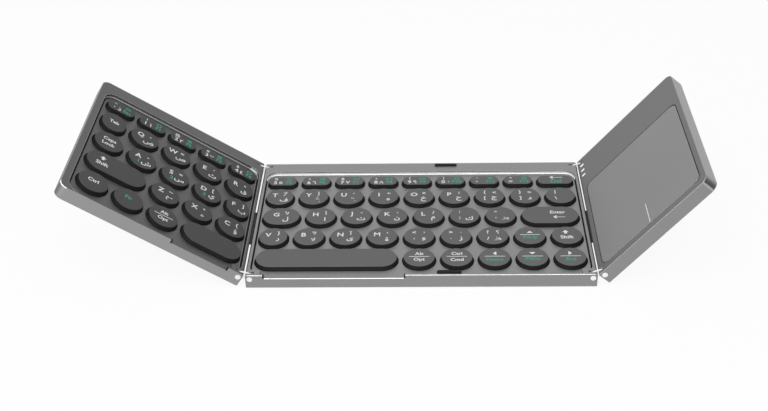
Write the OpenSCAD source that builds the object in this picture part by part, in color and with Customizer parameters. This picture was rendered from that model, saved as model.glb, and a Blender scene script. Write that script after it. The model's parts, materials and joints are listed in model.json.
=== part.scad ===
// Folding keyboard in three hinged sections: a middle section and a left wing with keys,
// and a shorter right wing with a touchpad. Every wing hangs on two pairs of link plates,
// so that it folds flat on top of the middle section.
// X runs to the right, Y to the back, Z up. The origin is at the centre of the middle section's
// underside, and the rubber feet stand proud of it. The wings are drawn half raised.

/* [Keys] */
// Size of a round key across its base
key_size = 14.2; // [12:0.1:16]
// Gap between neighbouring keys, along a row and from row to row
key_gap = 1.9; // [1.6:0.1:4]
// Height of a key's top above the floor of the well
key_rise = 1.95; // [1.6:0.05:1.95]
// How far a key travels when it is pressed
key_travel = 1.2; // [0.8:0.1:1.4]
// How much narrower a key is at its top than at its base, on each side
key_taper = 0.6; // [0.2:0.1:0.8]
// Thickness of a key's wall
key_wall = 0.9; // [0.6:0.1:1.2]
// How far a key's skirt hangs below the floor of the well
key_skirt = 0.7; // [0.4:0.1:0.9]
// Radius of the stem in a key that presses its dome
stem_r = 0.9; // [0.6:0.1:0.9]
// Gap between a key and the edge of its hole
key_clearance = 0.3; // [0.25:0.05:0.5]
// How much narrower a number key is than a round key
number_cut = 0.5; // [0.3:0.1:2]
// Gap between neighbouring number keys
number_side_gap = 1.95; // [1.6:0.05:2.1]
// Depth of a number key, front to back
number_d = 8; // [7.6:0.1:9]
// Corner radius of a number key
number_r = 3.2; // [2:0.1:3.6]
// Gap between the number keys and the row in front of them
number_gap = 2.3; // [1.6:0.1:4]
// Sideways shift of the middle section's key columns
column_shift = -0.6; // [-0.7:0.1:0.4]
// How much is cut off the outer side of the first key in each row of the middle section
first_key_cut = 1; // [0.8:0.1:2]
// How far the middle section's home row is set over against the rows around it
home_shift = 4.2; // [2:0.1:8]

/* [Sections] */
// Thickness of a section from its underside to its rim
body_t = 6.2; // [6:0.1:8]
// Depth of the well that the keys stand in
well_depth = 1.6; // [1.4:0.05:1.7]
// Thickness of the floor of the well
floor_t = 0.6; // [0.4:0.1:0.8]
// Width of the middle section's rim beside the hinges
rim_w = 1.7; // [1.4:0.1:3]
// Gap between the rim and the outermost keys of the middle section
rim_gap = 0.8; // [0.7:0.1:3]
// Thickness of the wall in front of the well
front_wall = 1; // [0.8:0.1:2]
// Width of the free strip between the front keys and the front wall
front_strip = 4.4; // [3:0.1:8]
// Width of the border behind the well
rear_border = 7.4; // [7:0.1:12]
// Width of the free strip between the number keys and the border
rear_strip = 4.4; // [3:0.1:8]
// Corner radius of the well
well_r = 5.5; // [3:0.5:6]
// Radius of the wings' outer corners
corner_r = 3.5; // [1:0.5:4]
// Radius of the corners beside the hinges
inner_r = 0.6; // [0.2:0.1:0.8]
// Radius of the top edges beside the hinges
edge_r = 1; // [0.9:0.1:1.4]
// Thickness of the outer walls around the inside
side_wall = 1.2; // [1:0.1:2]
// Width of the solid border in front of and behind the inside
end_wall = 4; // [3.9:0.1:6]
// Width of the hinge pads in the well's front corners
pad_w = 4.5; // [4.2:0.1:6]

/* [Left wing] */
// Distance from the left wing's hinge pins to its innermost keys
left_inner = 0.9; // [0.8:0.1:3]
// How much narrower the key at the outer end of the upper letter row is than a round key
tab_cut = 2; // [1.9:0.1:4]
// Gap between the outermost keys and the border
left_gap = 2.1; // [1:0.1:5]
// Width of the border at the wing's outer end
left_border = 3.2; // [2.8:0.1:6]
// Tilt of the left wing in the stored pose, against the middle section
left_fold = 33; // [0:1:180]
// Tilt of the left link plates in the stored pose
left_link_fold = 15; // [0:1:90]

/* [Right wing] */
// Width of the touchpad
touchpad_w = 55.3; // [50:0.1:70]
// Depth of the touchpad, front to back
touchpad_d = 62.3; // [50:0.1:70]
// Distance from the hinge pins to the touchpad
touchpad_start = 1.5; // [1.4:0.1:4]
// Gap around the touchpad
touchpad_clearance = 0.2; // [0.15:0.05:0.4]
// Width of the border in front of the touchpad
touchpad_border = 4; // [3:0.1:8]
// Width of the border beyond the touchpad, at the wing's outer end
right_border = 2.9; // [2.6:0.1:6]
// Corner radius of the touchpad
touchpad_r = 3; // [1:0.1:4]
// How far the touchpad lies below the rim
touchpad_drop = 0.05; // [0:0.05:0.2]
// Thickness of the touchpad's plate
touchpad_t = 1; // [0.8:0.1:1.2]
// How far the touchpad's front edge travels when it clicks
click_travel = 0.4; // [0.2:0.05:0.45]
// Radius of the bead under the touchpad's rear edge that it rocks on
bead_r = 0.4; // [0.3:0.05:0.5]
// Distance from the bead's middle to the touchpad's rear edge
bead_inset = 0.6; // [0.5:0.05:0.7]
// Thickness of the ledge under the right wing's top that carries the bead
ledge_t = 1.2; // [1:0.05:1.3]
// Thickness of the right wing's top
right_top_t = 1; // [0.8:0.1:1.1]
// Tilt of the right wing in the stored pose, against the middle section
right_fold = 50; // [0:1:180]
// Tilt of the right link plates in the stored pose
right_link_fold = 19; // [0:1:90]

/* [Hinges] */
// Distance between the two pins of a link plate
link_length = 5; // [4.9:0.1:6]
// Half the height of a link plate
link_r = 1.6; // [1.4:0.05:1.7]
// Thickness of a link plate
link_t = 1; // [0.8:0.1:1.2]
// Free space around a link plate in its slot
link_clearance = 0.15; // [0.1:0.05:0.3]
// Distance from a pin to the edge of its section
pin_inset = 1.9; // [1.8:0.05:2]
// Distance from a pin down from the rim
pin_drop = 2; // [1.9:0.05:2.1]
// Radius of a hinge pin
pin_r = 0.9; // [0.7:0.05:1]
// Radius of a hinge pin's head
pin_head_r = 1.2; // [1.1:0.05:1.3]
// Thickness of a hinge pin's head
pin_head_t = 0.5; // [0.3:0.1:0.7]
// Radial gap between a hinge pin and the link plate that turns on it
pin_fit = 0.05; // [0.02:0.01:0.1]
// Thickness of the wall between a section's end face and its link slot
pin_wall = 1.6; // [1.4:0.1:1.7]
// Length of a hinge pin that is pressed in behind its link slot
pin_seat = 1; // [0.8:0.1:1.2]

/* [Flex cables] */
// Width of a flex cable
flex_w = 25.2; // [16:0.2:40]
// Place of the flex cables' middle, front to back
flex_y = -4; // [-10:0.5:10]
// Thickness of a flex cable
flex_t = 0.3; // [0.2:0.05:0.5]
// Height of a flex cable above the underside of its section
flex_z = 2.3; // [2:0.1:3]
// Length of a flex cable that is held inside each section
flex_hold = 1.6; // [1.3:0.1:2]
// Free space beside a flex cable in the side walls
flex_clearance = 0.35; // [0.3:0.05:0.5]
// Free space above and below a flex cable in the side walls
flex_room = 0.7; // [0.5:0.05:0.8]

/* [Feet, cover and trim] */
// Height of the feet below the underside
foot_h = 0.5; // [0.3:0.1:1]
// Radius of a foot
foot_r = 3.5; // [2.5:0.1:4]
// Depth of the recess that a foot is glued into
foot_recess = 0.3; // [0.2:0.05:0.4]
// Distance from a foot's middle to the edges of its section
foot_inset = 9; // [8:0.5:14]
// Thickness of the bottom covers
cover_t = 0.8; // [0.7:0.05:1]
// Distance from a bottom cover to the edge of its section
cover_inset = 1; // [0.9:0.1:1.4]
// Gap around a bottom cover
cover_clearance = 0.1; // [0.05:0.05:0.2]
// Radius of a cover screw
screw_r = 0.7; // [0.5:0.05:0.8]
// Radius of a cover screw's head
screw_head_r = 1.3; // [1.1:0.05:1.4]
// Length of a cover screw
screw_length = 3; // [2.5:0.1:3.2]
// Distance from a screw to the front or rear face
screw_inset = 2.6; // [2.5:0.1:3]
// Distance from the outer screws to the ends of their section
screw_end = 9; // [8:0.5:14]
// Length of a rubber bumper
bumper_w = 10.4; // [6:0.2:16]
// Width of a rubber bumper
bumper_d = 1.6; // [1.2:0.1:2]
// Height of a rubber bumper above the rim
bumper_rise = 0.7; // [0.4:0.05:0.7]
// Distance from the rear bumper's middle to the rear face
bumper_inset = 2.2; // [2:0.1:4]
// Depth of the recess that the rear bumper is glued into
bumper_recess = 1; // [0.5:0.1:1.2]
// Depth of the front bumper's recess in the floor of the well
front_recess = 0.3; // [0.2:0.05:0.4]
// Place of the bumpers along the middle section
bumper_x = 12; // [4:0.5:20]
// Place of the thumb notch's left end in the middle section's front wall
notch_left = -66; // [-68:0.5:-50]
// Place of the thumb notch's right end in the middle section's front wall
notch_right = -7; // [-20:0.5:0]
// Distance from the hinge pins to the near end of the left wing's thumb notch
left_notch_near = 6; // [5:0.5:12]
// Distance from the hinge pins to the far end of the left wing's thumb notch
left_notch_far = 31.5; // [20:0.5:50]

/* [Inside] */
// Thickness of the steel plates under the keys
plate_t = 0.4; // [0.3:0.05:0.5]
// Thickness of the contact sheets
sheet_t = 0.3; // [0.2:0.05:0.4]
// Thickness of the rubber sheets that carry the domes
dome_sheet_t = 0.2; // [0.15:0.05:0.3]
// Radius of a rubber dome at its foot
dome_r = 2.2; // [1.8:0.1:2.3]
// Radius of a number key's dome at its foot
number_dome_r = 1.5; // [1.2:0.1:1.6]
// Height of a rubber dome that is pressed down
dome_pressed_h = 0.7; // [0.6:0.05:0.8]
// Thickness of a dome's wall
dome_wall = 0.3; // [0.2:0.05:0.4]
// How much narrower a dome is at its top than at its foot, as a share
dome_taper = 0.4; // [0.3:0.05:0.5]
// Gap between a piece inside and the walls around it
inner_gap = 0.3; // [0.2:0.05:0.5]
// Gap between the corners of a round key's scissor and the key around them
scissor_play = 0.1; // [0.1:0.05:0.5]
// Width of a scissor bar
scissor_bar = 0.7; // [0.5:0.05:0.8]
// Width of a number key's scissor bar
number_bar = 0.5; // [0.4:0.05:0.5]
// Height of a scissor bar
scissor_h = 0.6; // [0.5:0.05:0.7]
// Radius of the rods that join the frames of a scissor
rod_r = 0.2; // [0.15:0.05:0.2]
// Tilt of the scissor frames of a key that isn't pressed
scissor_tilt = 19; // [14:1:20]
// Gap between the two frames of a scissor
scissor_gap = 0.2; // [0.15:0.05:0.25]
// Thickness of the controller board and of the touchpad's sensor board
board_t = 0.6; // [0.5:0.05:0.8]
// Height of the posts that the controller board lies on
post_h = 0.8; // [0.6:0.1:1]
// Radius of a post
post_r = 1.2; // [0.8:0.1:2]
// Width of the controller board's part behind the touchpad, front to back
board_rear_d = 15; // [12:0.5:16]
// Width of the controller board's part under the touchpad's front edge
board_front_d = 7; // [6:0.5:8]
// Width of the controller board's part beside the hinge
board_side_w = 6; // [6:0.5:8]
// Width of a click switch
switch_w = 4.5; // [3:0.1:5]
// Thickness of a click switch's case
switch_t = 1; // [0.6:0.1:1.2]
// Radius of a click switch's button
switch_r = 1.2; // [0.8:0.1:1.5]
// Width of the battery
battery_w = 36; // [20:1:38]
// Depth of the battery, front to back
battery_d = 42; // [20:1:44]
// Thickness of the battery
battery_t = 2.8; // [2:0.1:2.9]
// Width of the charging socket
socket_w = 7.5; // [7:0.1:8]
// Height of the charging socket
socket_h = 2.6; // [2.4:0.1:2.7]
// Depth of the charging socket
socket_d = 5.6; // [5:0.1:7]
// Thickness of the charging socket's wall
socket_wall = 0.35; // [0.2:0.05:0.5]
// Distance from the hinge pins to the charging socket's middle
socket_x = 36; // [20:1:40]
// Length of a status light
light_w = 2.2; // [1.6:0.1:2.6]
// Width of a status light
light_d = 1.2; // [0.8:0.1:1.6]
// Distance between the centres of neighbouring status lights
light_pitch = 4.15; // [3:0.05:5]
// Distance from the hinge pins to the status lights
light_x = 1.05; // [0.95:0.05:3]
// Distance from the rear face to the first status light
light_inset = 5.8; // [5:0.1:8]
// Length of a closing magnet
magnet_w = 9; // [6:0.5:10]
// Width of a closing magnet
magnet_d = 2.4; // [1.6:0.1:2.6]
// Thickness of a closing magnet
magnet_t = 1.6; // [1:0.1:1.8]

/* [Hidden] */
$fn = 48;
eps = 0.02; // how far a cut runs past a face that it must not go far beyond
past = 1; // how far a cut runs past a face where there is nothing behind it
touch = 0.01; // gap between two faces that rest on each other
seat_fit = 0.05; // gap around a piece that is pressed, screwed or glued into its seat

// Key rows, front to back
key_pitch = key_size + key_gap;
rows_d = 3 * key_pitch + key_size + number_gap + number_d;
deck_d = front_wall + front_strip + rows_d + rear_strip + rear_border;
front_y = -deck_d / 2;
rear_y = deck_d / 2;
space_y = front_y + front_wall + front_strip + key_size / 2;
lower_y = space_y + key_pitch;
home_y = lower_y + key_pitch;
upper_y = home_y + key_pitch;
number_y = upper_y + key_size / 2 + number_gap + number_d / 2;

// Middle section, left to right
end_column = 4; // the middle section's columns run from -4 to 4
home_keys = 6; // round keys in the middle section's home row
number_keys = 8; // number keys of the middle section
mid_keys_w = 2 * end_column * key_pitch + key_size;
mid_w = mid_keys_w + 2 * rim_gap + 2 * rim_w;
mid_x = mid_w / 2;
mid_left = -mid_keys_w / 2 + column_shift + first_key_cut;
mid_right = mid_keys_w / 2 + column_shift;
home_x = column(1 - end_column) + home_shift;
number_w = key_size - number_cut;
number_pitch = number_w + number_side_gap;

// Left wing, outwards from its pins
left_columns = 4; // columns of round keys
left_number_keys = 5; // number keys of the left wing
left_first = left_inner + key_size / 2;
tab_w = key_size - tab_cut;
left_outer = left_inner + left_columns * key_pitch + tab_w;
left_reach = left_outer + left_gap + left_border;

// Right wing, outwards from its pins
touchpad_end = touchpad_start + touchpad_w;
right_reach = touchpad_end + touchpad_clearance + right_border;
touchpad_front = front_y + touchpad_border;
touchpad_rear = touchpad_front + touchpad_d;
touchpad_x = touchpad_start + touchpad_w / 2;
touchpad_y = touchpad_front + touchpad_d / 2;
bead_y = touchpad_rear - bead_inset;

// Heights above the underside of a section
floor_z = body_t - well_depth;
roof_z = floor_z - floor_t;
pin_z = body_t - pin_drop;
plate_z = cover_t + touch;
sheet_z = plate_z + plate_t + touch;
dome_z = sheet_z + sheet_t + touch;
dome_h = dome_pressed_h + key_travel;
dome_top = dome_z + dome_sheet_t + dome_h;
skirt_z = roof_z - key_skirt;
key_top = floor_z + key_rise;
key_roof = key_top - key_wall;
board_z = cover_t + post_h + touch;
board_top = board_z + board_t;
touchpad_top = body_t - touchpad_drop;
touchpad_z = touchpad_top - touchpad_t;
sensor_z = touchpad_z - board_t - touch;
right_roof_z = body_t - right_top_t;

// Hinges: a link slot's floor is as round as the pin is far from the edge
slot_r = pin_inset;
slot_t = link_t + 2 * link_clearance;
link_y = deck_d / 2 - pin_wall - slot_t / 2;
pin_length = pin_wall + slot_t + pin_seat;
pad_rear_y = front_y + pin_length + inner_gap; // rear face of the hinge pads
inner_y = deck_d / 2 - end_wall; // front and rear walls of a section's inside

// Trim: the front bumper stands on the floor of the well, the rear one in the border behind it
front_bumper_y = front_y + front_wall + 2 * seat_fit + bumper_d / 2;
front_bumper_z = floor_z - front_recess;
rear_bumper_y = rear_y - bumper_inset;
rear_bumper_z = body_t - bumper_recess;
light_y = rear_y - light_inset;
screw_sink = 0.05; // how far a screw's head lies below the cover's face
screw_room = 0.2; // free space before a screw's tip
cross_l = 1.8; // length of the cross in a screw's head
cross_w = 0.3;
cross_depth = 0.4;

// The bar magnets lie against the roof of the inside, and the middle section's under the places
// where those of the folded wings come down
magnet_inset = 1; // distance from the right wing's magnet to the touchpad's outer end
left_magnet_x = left_outer - magnet_w;
right_magnet_x = touchpad_end - magnet_inset - magnet_w / 2;
magnet_y = inner_y - 2 * inner_gap - magnet_d / 2;
magnet_r = 0.4;

// A scissor fits into a round key by its corners, and a key with room for it has two scissors
scissor_l = (key_size - 2 * key_wall - key_taper - 2 * scissor_play) / sqrt(2);
long_key = key_size + scissor_l + 2 * inner_gap;
scissor_z = (dome_z + dome_sheet_t + key_roof) / 2;
number_scissor_w = number_d - 2 * key_wall - key_taper - inner_gap;
scissor_margin = 5.4; // what a narrow key's scissor is narrower than its key

// The controller board runs round the battery: behind the touchpad, down beside the hinge and
// under the touchpad's front edge, where the click switches are
board_x0 = -pin_inset + side_wall + flex_hold + inner_gap;
board_end_gap = 1.3; // free space between the controller board and the outer end wall
board_x1 = right_reach - side_wall - board_end_gap;
board_front = -inner_y + inner_gap;
board_rear = inner_y - inner_gap;
post_places = [
  for (x = [board_x0 + board_side_w / 2, board_x1 - board_side_w / 2])
    for (y = [board_front + board_front_d / 2, board_rear - board_rear_d / 2]) [x, y]
];
sensor_margin = 1.5; // how much smaller the sensor board is than the touchpad, on each side
ledge_gap = 0.1; // free space between the touchpad's plate and the ledge under its rear edge
ledge_hold = 1; // how far the ledge reaches under the top, behind the touchpad's opening
switch_gap = 0.1; // free space above a click switch when the touchpad is pressed
battery_r = 1.5;
socket_inset = 0.2; // distance from the charging socket's mouth to the rear face

function column(i) = column_shift + i * key_pitch;
// A key that fills a row from one x to another, as [middle, width]
function span(from, to) = [(from + to) / 2, to - from];

// Keys of the middle section, as [middle, width]
mid_number_row = [
  for (i = [0:number_keys - 1]) [mid_left + number_w / 2 + i * number_pitch, number_w]
];
backspace = span(mid_left + (number_keys - 1) * number_pitch + number_w + key_gap, mid_right);
first_column = span(mid_left, column(-end_column) + key_size / 2);
mid_upper_row = concat(
  [first_column],
  [for (i = [1 - end_column:end_column]) [column(i), key_size]]
);
mid_home_row = concat(
  [span(mid_left, home_x - key_size / 2 - key_gap)],
  [for (i = [0:home_keys - 1]) [home_x + i * key_pitch, key_size]]
);
enter = span(home_x + home_keys * key_pitch - key_size / 2, mid_right);
mid_lower_row = concat(
  [first_column],
  [for (i = [1 - end_column:end_column - 2]) [column(i), key_size]]
);
right_shift = [column(end_column), key_size];
right_space = span(mid_left, column(0) - key_size / 2 - key_gap);
right_modifiers = [for (i = [0:1]) [column(i), key_size]];
front_arrows = [for (i = [end_column - 2:end_column]) [column(i), key_size]];
up_arrow = [column(end_column - 1), key_size];

// Keys of the left wing, as [middle, width], on its own x axis that points to the hinge
left_number_row = [
  for (i = [0:left_number_keys - 1])
    [-left_outer + number_w / 2 + i * number_pitch, number_w]
];
tab = span(-left_outer, -left_outer + tab_w);
left_upper_row = [
  for (i = [0:left_columns - 1]) [-left_first - i * key_pitch, key_size]
];
caps_lock = span(-left_outer, -left_outer + key_size);
left_home_row = concat(
  [
    for (i = [1:left_columns - 1])
      [-left_outer + key_size / 2 + i * key_pitch, key_size]
  ],
  [span(-left_outer + left_columns * key_pitch, -left_inner)]
);
left_lower_row = [
  for (i = [0:left_columns - 2]) [-left_first - i * key_pitch, key_size]
];
left_shift = span(-left_outer, -left_first - (left_columns - 1) * key_pitch + key_size / 2);
left_modifiers = [
  for (i = [0:left_columns - 2])
    [-left_outer + key_size / 2 + i * key_pitch, key_size]
];
left_space = span(-left_outer + (left_columns - 1) * key_pitch, -left_inner);

// Each section's keys by row, as [keys, y, depth, corner radius, dome radius, scissor bar]
function letter_row(keys, y) = [keys, y, key_size, key_size / 2, dome_r, scissor_bar];
function number_row(keys) = [keys, number_y, number_d, number_r, number_dome_r, number_bar];
mid_rows = [
  number_row(concat(mid_number_row, [backspace])),
  letter_row(mid_upper_row, upper_y),
  letter_row(concat(mid_home_row, [enter]), home_y),
  letter_row(concat(mid_lower_row, [up_arrow, right_shift]), lower_y),
  letter_row(concat([right_space], right_modifiers, front_arrows), space_y)
];
left_rows = [
  number_row(left_number_row),
  letter_row(concat([tab], left_upper_row), upper_y),
  letter_row(concat([caps_lock], left_home_row), home_y),
  letter_row(concat([left_shift], left_lower_row), lower_y),
  letter_row(concat(left_modifiers, [left_space]), space_y)
];

// Places where the wings' pins are in the stored pose
mid_pin_x = mid_w / 2 - pin_inset;
left_pin_x = -mid_pin_x - link_length * cos(left_link_fold);
left_pin_z = pin_z + link_length * sin(left_link_fold);
right_pin_x = mid_pin_x + link_length * cos(right_link_fold);
right_pin_z = pin_z + link_length * sin(right_link_fold);

housing_colour = [0.56, 0.57, 0.58];
left_colour = [0.42, 0.43, 0.44];
inner_colour = [0.30, 0.31, 0.33];
key_colour = [0.24, 0.24, 0.25];
metal_colour = [0.82, 0.83, 0.85];
rubber_colour = [0.10, 0.10, 0.11];
board_colour = [0.05, 0.30, 0.16];

// ---- Frames of the sections ----

// The left wing's frame: its x axis points to the hinge, and x = 0 is at the pins
module in_left() {
  translate([left_pin_x, 0, left_pin_z])
    rotate([0, left_fold, 0])
      translate([0, 0, -pin_z]) children();
}

// The right wing's frame: its x axis points away from the hinge, and x = 0 is at the pins
module in_right() {
  translate([right_pin_x, 0, right_pin_z])
    rotate([0, -right_fold, 0])
      translate([0, 0, -pin_z]) children();
}

// ---- Shared shapes ----

// A box given by its lowest and highest corners
module box(low, high) {
  translate(low) cube(high - low);
}

// An upright block with a rounded outline
module rounded_block(w, d, r, h) {
  round_r = min(r, w / 2, d / 2);
  straight_x = w - 2 * round_r;
  straight_y = d - 2 * round_r;
  if (straight_x > eps) translate([-straight_x / 2, -d / 2, 0]) cube([straight_x, d, h]);
  if (straight_y > eps) translate([-w / 2, -straight_y / 2, 0]) cube([w, straight_y, h]);
  for (sx = straight_x > eps ? [-1, 1] : [0], sy = straight_y > eps ? [-1, 1] : [0])
    translate([sx * straight_x / 2, sy * straight_y / 2, 0]) cylinder(h = h, r = round_r);
}

// A block with a rounded outline whose sides lean in by one amount all round
module tapered_block(w, d, r, h, lean) {
  round_r = min(r, w / 2, d / 2);
  straight_x = w - 2 * round_r;
  straight_y = d - 2 * round_r;
  if (straight_x > eps)
    translate([-straight_x / 2, 0, 0]) rotate([90, 0, 90])
      linear_extrude(straight_x)
        polygon([[-d / 2, 0], [d / 2, 0], [d / 2 - lean, h], [-d / 2 + lean, h]]);
  if (straight_y > eps)
    translate([0, straight_y / 2, 0]) rotate([90, 0, 0])
      linear_extrude(straight_y)
        polygon([[-w / 2, 0], [w / 2, 0], [w / 2 - lean, h], [-w / 2 + lean, h]]);
  for (sx = straight_x > eps ? [-1, 1] : [0], sy = straight_y > eps ? [-1, 1] : [0])
    translate([sx * straight_x / 2, sy * straight_y / 2, 0])
      cylinder(h = h, r1 = round_r, r2 = round_r - lean);
}

// A section's outline from x0 to x1, with its own corner radius at each end
module outline_block(x0, x1, d, r0, r1, z0, z1) {
  box([x0 + r0, -d / 2, z0], [x1 - r1, d / 2, z1]);
  if (r0 > 0) {
    box([x0, -d / 2 + r0, z0], [x0 + r0 + eps, d / 2 - r0, z1]);
    for (side = [-1, 1])
      translate([x0 + r0, side * (d / 2 - r0), z0]) cylinder(h = z1 - z0, r = r0);
  }
  if (r1 > 0) {
    box([x1 - r1 - eps, -d / 2 + r1, z0], [x1, d / 2 - r1, z1]);
    for (side = [-1, 1])
      translate([x1 - r1, side * (d / 2 - r1), z0]) cylinder(h = z1 - z0, r = r1);
  }
}

// What is cut off a top edge along y to round it; side is -1 for a left edge, 1 for a right one
module edge_cut(x, side) {
  difference() {
    translate([x - (side > 0 ? edge_r : eps), front_y - past, body_t - edge_r])
      cube([edge_r + eps, deck_d + 2 * past, edge_r + eps]);
    translate([x - side * edge_r, front_y - 2 * past, body_t - edge_r])
      rotate([-90, 0, 0]) cylinder(h = deck_d + 4 * past, r = edge_r);
  }
}

// Slots for the link plates and bores for the pins, at a hinge edge.
// x is where the pins are, and side points from them to the edge.
module hinge_cuts(x, side) {
  for (end = [-1, 1]) {
    translate([x, end * link_y, pin_z]) rotate([90, 0, 0])
      cylinder(h = slot_t, r = slot_r, center = true);
    translate([x, end * link_y - slot_t / 2, pin_z - slot_r])
      mirror([side < 0 ? 1 : 0, 0, 0]) cube([slot_r + past, slot_t, 2 * slot_r + past]);
    translate([x - slot_r, end * link_y - slot_t / 2, pin_z])
      cube([2 * slot_r, slot_t, body_t]);
    translate([x, end * (deck_d / 2 + eps), pin_z]) rotate([end * 90, 0, 0]) {
      cylinder(h = pin_length + 2 * eps, r = pin_r + seat_fit / 2);
      cylinder(h = pin_head_t + eps, r = pin_head_r + seat_fit / 2);
    }
  }
}

// Two pins, front and rear, that hold a section's link plates
module pin_pair(x) {
  for (end = [-1, 1])
    translate([x, end * deck_d / 2, pin_z]) rotate([end * 90, 0, 0]) {
      cylinder(h = pin_length, r = pin_r);
      cylinder(h = pin_head_t, r = pin_head_r);
    }
}

// One link plate between two pins, lying along x from the first pin
module link_plate(end) {
  translate([0, end * link_y, 0]) rotate([90, 0, 0]) difference() {
    union() {
      cylinder(h = link_t, r = link_r, center = true);
      translate([link_length, 0, 0]) cylinder(h = link_t, r = link_r, center = true);
      translate([0, -link_r, -link_t / 2]) cube([link_length, 2 * link_r, link_t]);
    }
    for (x = [0, link_length])
      translate([x, 0, 0]) cylinder(h = 2 * link_t, r = pin_r + pin_fit, center = true);
  }
}

// ---- Keys and what carries them ----

// Holes in the floor of a well, one for each key
module key_holes(rows) {
  for (row = rows, key = row[0])
    translate([key[0], row[1], roof_z - eps])
      rounded_block(
        key[1] + 2 * key_clearance, row[2] + 2 * key_clearance,
        row[3] + key_clearance, floor_t + 2 * eps
      );
}

// One hollow key cap with the stem that presses its dome
module key_cap(key, row) {
  w = key[1];
  d = row[2];
  r = row[3];
  translate([key[0], row[1], 0]) {
    difference() {
      union() {
        translate([0, 0, skirt_z]) rounded_block(w, d, r, floor_z - skirt_z);
        translate([0, 0, floor_z]) tapered_block(w, d, r, key_rise, key_taper);
      }
      translate([0, 0, skirt_z - eps])
        rounded_block(
          w - 2 * key_wall - key_taper, d - 2 * key_wall - key_taper,
          r - key_wall - key_taper / 2, key_roof - skirt_z + eps
        );
    }
    translate([0, 0, dome_top + touch]) cylinder(h = key_roof - dome_top, r = stem_r);
  }
}

module key_caps(keys, row) {
  color(key_colour) for (key = keys) key_cap(key, row);
}

// A rubber sheet with one hollow dome for each key
module dome_sheet(x0, x1, rows) {
  narrow = 1 - dome_taper;
  difference() {
    union() {
      inner_sheet(x0, x1, dome_z, dome_sheet_t);
      for (row = rows, key = row[0])
        translate([key[0], row[1], dome_z + dome_sheet_t])
          cylinder(h = dome_h, r1 = row[4], r2 = row[4] * narrow);
    }
    for (row = rows, key = row[0])
      translate([key[0], row[1], dome_z - eps])
        cylinder(
          h = dome_sheet_t + dome_h - dome_wall,
          r1 = row[4] - dome_wall, r2 = row[4] * narrow - dome_wall
        );
  }
}

// A flat sheet that fills the inside of a section
module inner_sheet(x0, x1, z, t) {
  box([x0 + inner_gap, -inner_y + inner_gap, z], [x1 - inner_gap, inner_y - inner_gap, z + t]);
}

// A rectangular ring that lies along y
module scissor_frame(l, w, bar) {
  difference() {
    cube([w, l, scissor_h], center = true);
    cube([w - 2 * bar, l - 2 * bar, 2 * scissor_h], center = true);
  }
}

// Two crossing frames that keep a key level; they turn on a rod through the inner frame
module scissor(l, w, bar) {
  inner_w = w - 2 * bar - 2 * scissor_gap;
  rotate([scissor_tilt, 0, 0]) difference() {
    scissor_frame(l, w, bar);
    rotate([0, 90, 0]) cylinder(h = 2 * w, r = rod_r + pin_fit, center = true);
  }
  rotate([-scissor_tilt, 0, 0]) {
    scissor_frame(l, inner_w, bar);
    for (side = [-1, 1])
      translate([side * (inner_w / 2 + scissor_gap / 2), 0, 0]) rotate([0, 90, 0])
        cylinder(h = scissor_gap + bar, r = rod_r, center = true);
  }
}

// The scissors of all keys: a long key has two, and a number key's lie sideways
module scissors(rows) {
  for (row = rows, key = row[0]) {
    sideways = row[2] < key_size - eps;
    along = key[1] > long_key ? [-1, 1] * min(key[1] / 4, (key[1] - key_size) / 2) : [0];
    w = sideways ? number_scissor_w : min(scissor_l, key[1] - scissor_margin);
    for (x = along)
      translate([key[0] + x, row[1], scissor_z])
        rotate([0, 0, sideways ? 90 : 0]) scissor(scissor_l, w, row[5]);
  }
}

// ---- Housings and covers ----

// The block of a section with its inside and its cover's seat cut out
module hollow_section(x0, x1, r0, r1, roof) {
  difference() {
    outline_block(x0, x1, deck_d, r0, r1, 0, body_t);
    box(
      [x0 + side_wall, -inner_y, cover_t - eps],
      [x1 - side_wall, inner_y, roof]
    );
    translate([0, 0, -eps]) cover_shape(x0, x1, r0, r1, cover_inset, cover_t + eps);
  }
}

// A bottom cover's outline, drawn in from the section's edges by an inset
module cover_shape(x0, x1, r0, r1, inset, t) {
  outline_block(
    x0 + inset, x1 - inset, deck_d - 2 * inset,
    max(r0 - inset, 0), max(r1 - inset, 0), 0, t
  );
}

// Places of a section's cover screws, as [x, y]
function screw_places(x0, x1) = [
  for (x = [x0 + screw_end, (x0 + x1) / 2, x1 - screw_end], side = [-1, 1])
    [x, side * (deck_d / 2 - screw_inset)]
];

// Places of a section's feet, as [x, y]
function foot_places(x0, x1) = [
  for (x = [x0 + foot_inset, x1 - foot_inset], side = [-1, 1])
    [x, side * (deck_d / 2 - foot_inset)]
];

module screw_bores(x0, x1) {
  for (place = screw_places(x0, x1))
    translate([place[0], place[1], 0]) {
      translate([0, 0, -past])
        cylinder(h = past + screw_length + screw_room, r = screw_r + seat_fit);
      cylinder(
        h = screw_head_r - screw_r,
        r1 = screw_head_r + seat_fit, r2 = screw_r + seat_fit
      );
    }
}

module screws(x0, x1) {
  color(metal_colour) for (place = screw_places(x0, x1))
    translate([place[0], place[1], screw_sink]) difference() {
      union() {
        cylinder(h = screw_length - screw_sink, r = screw_r);
        cylinder(h = screw_head_r - screw_r, r1 = screw_head_r, r2 = screw_r);
      }
      for (turn = [0, 90])
        rotate([0, 0, turn]) translate([-cross_l / 2, -cross_w / 2, -eps])
          cube([cross_l, cross_w, cross_depth]);
    }
}

module feet(x0, x1) {
  color(rubber_colour) for (place = foot_places(x0, x1))
    translate([place[0], place[1], -foot_h])
      cylinder(h = foot_h + foot_recess - touch, r = foot_r);
}

module bottom_cover(x0, x1, r0, r1) {
  color(inner_colour) difference() {
    cover_shape(x0, x1, r0, r1, cover_inset + cover_clearance, cover_t);
    screw_bores(x0, x1);
    for (place = foot_places(x0, x1))
      translate([place[0], place[1], -eps])
        cylinder(h = foot_recess + eps, r = foot_r + seat_fit);
  }
}

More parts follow.
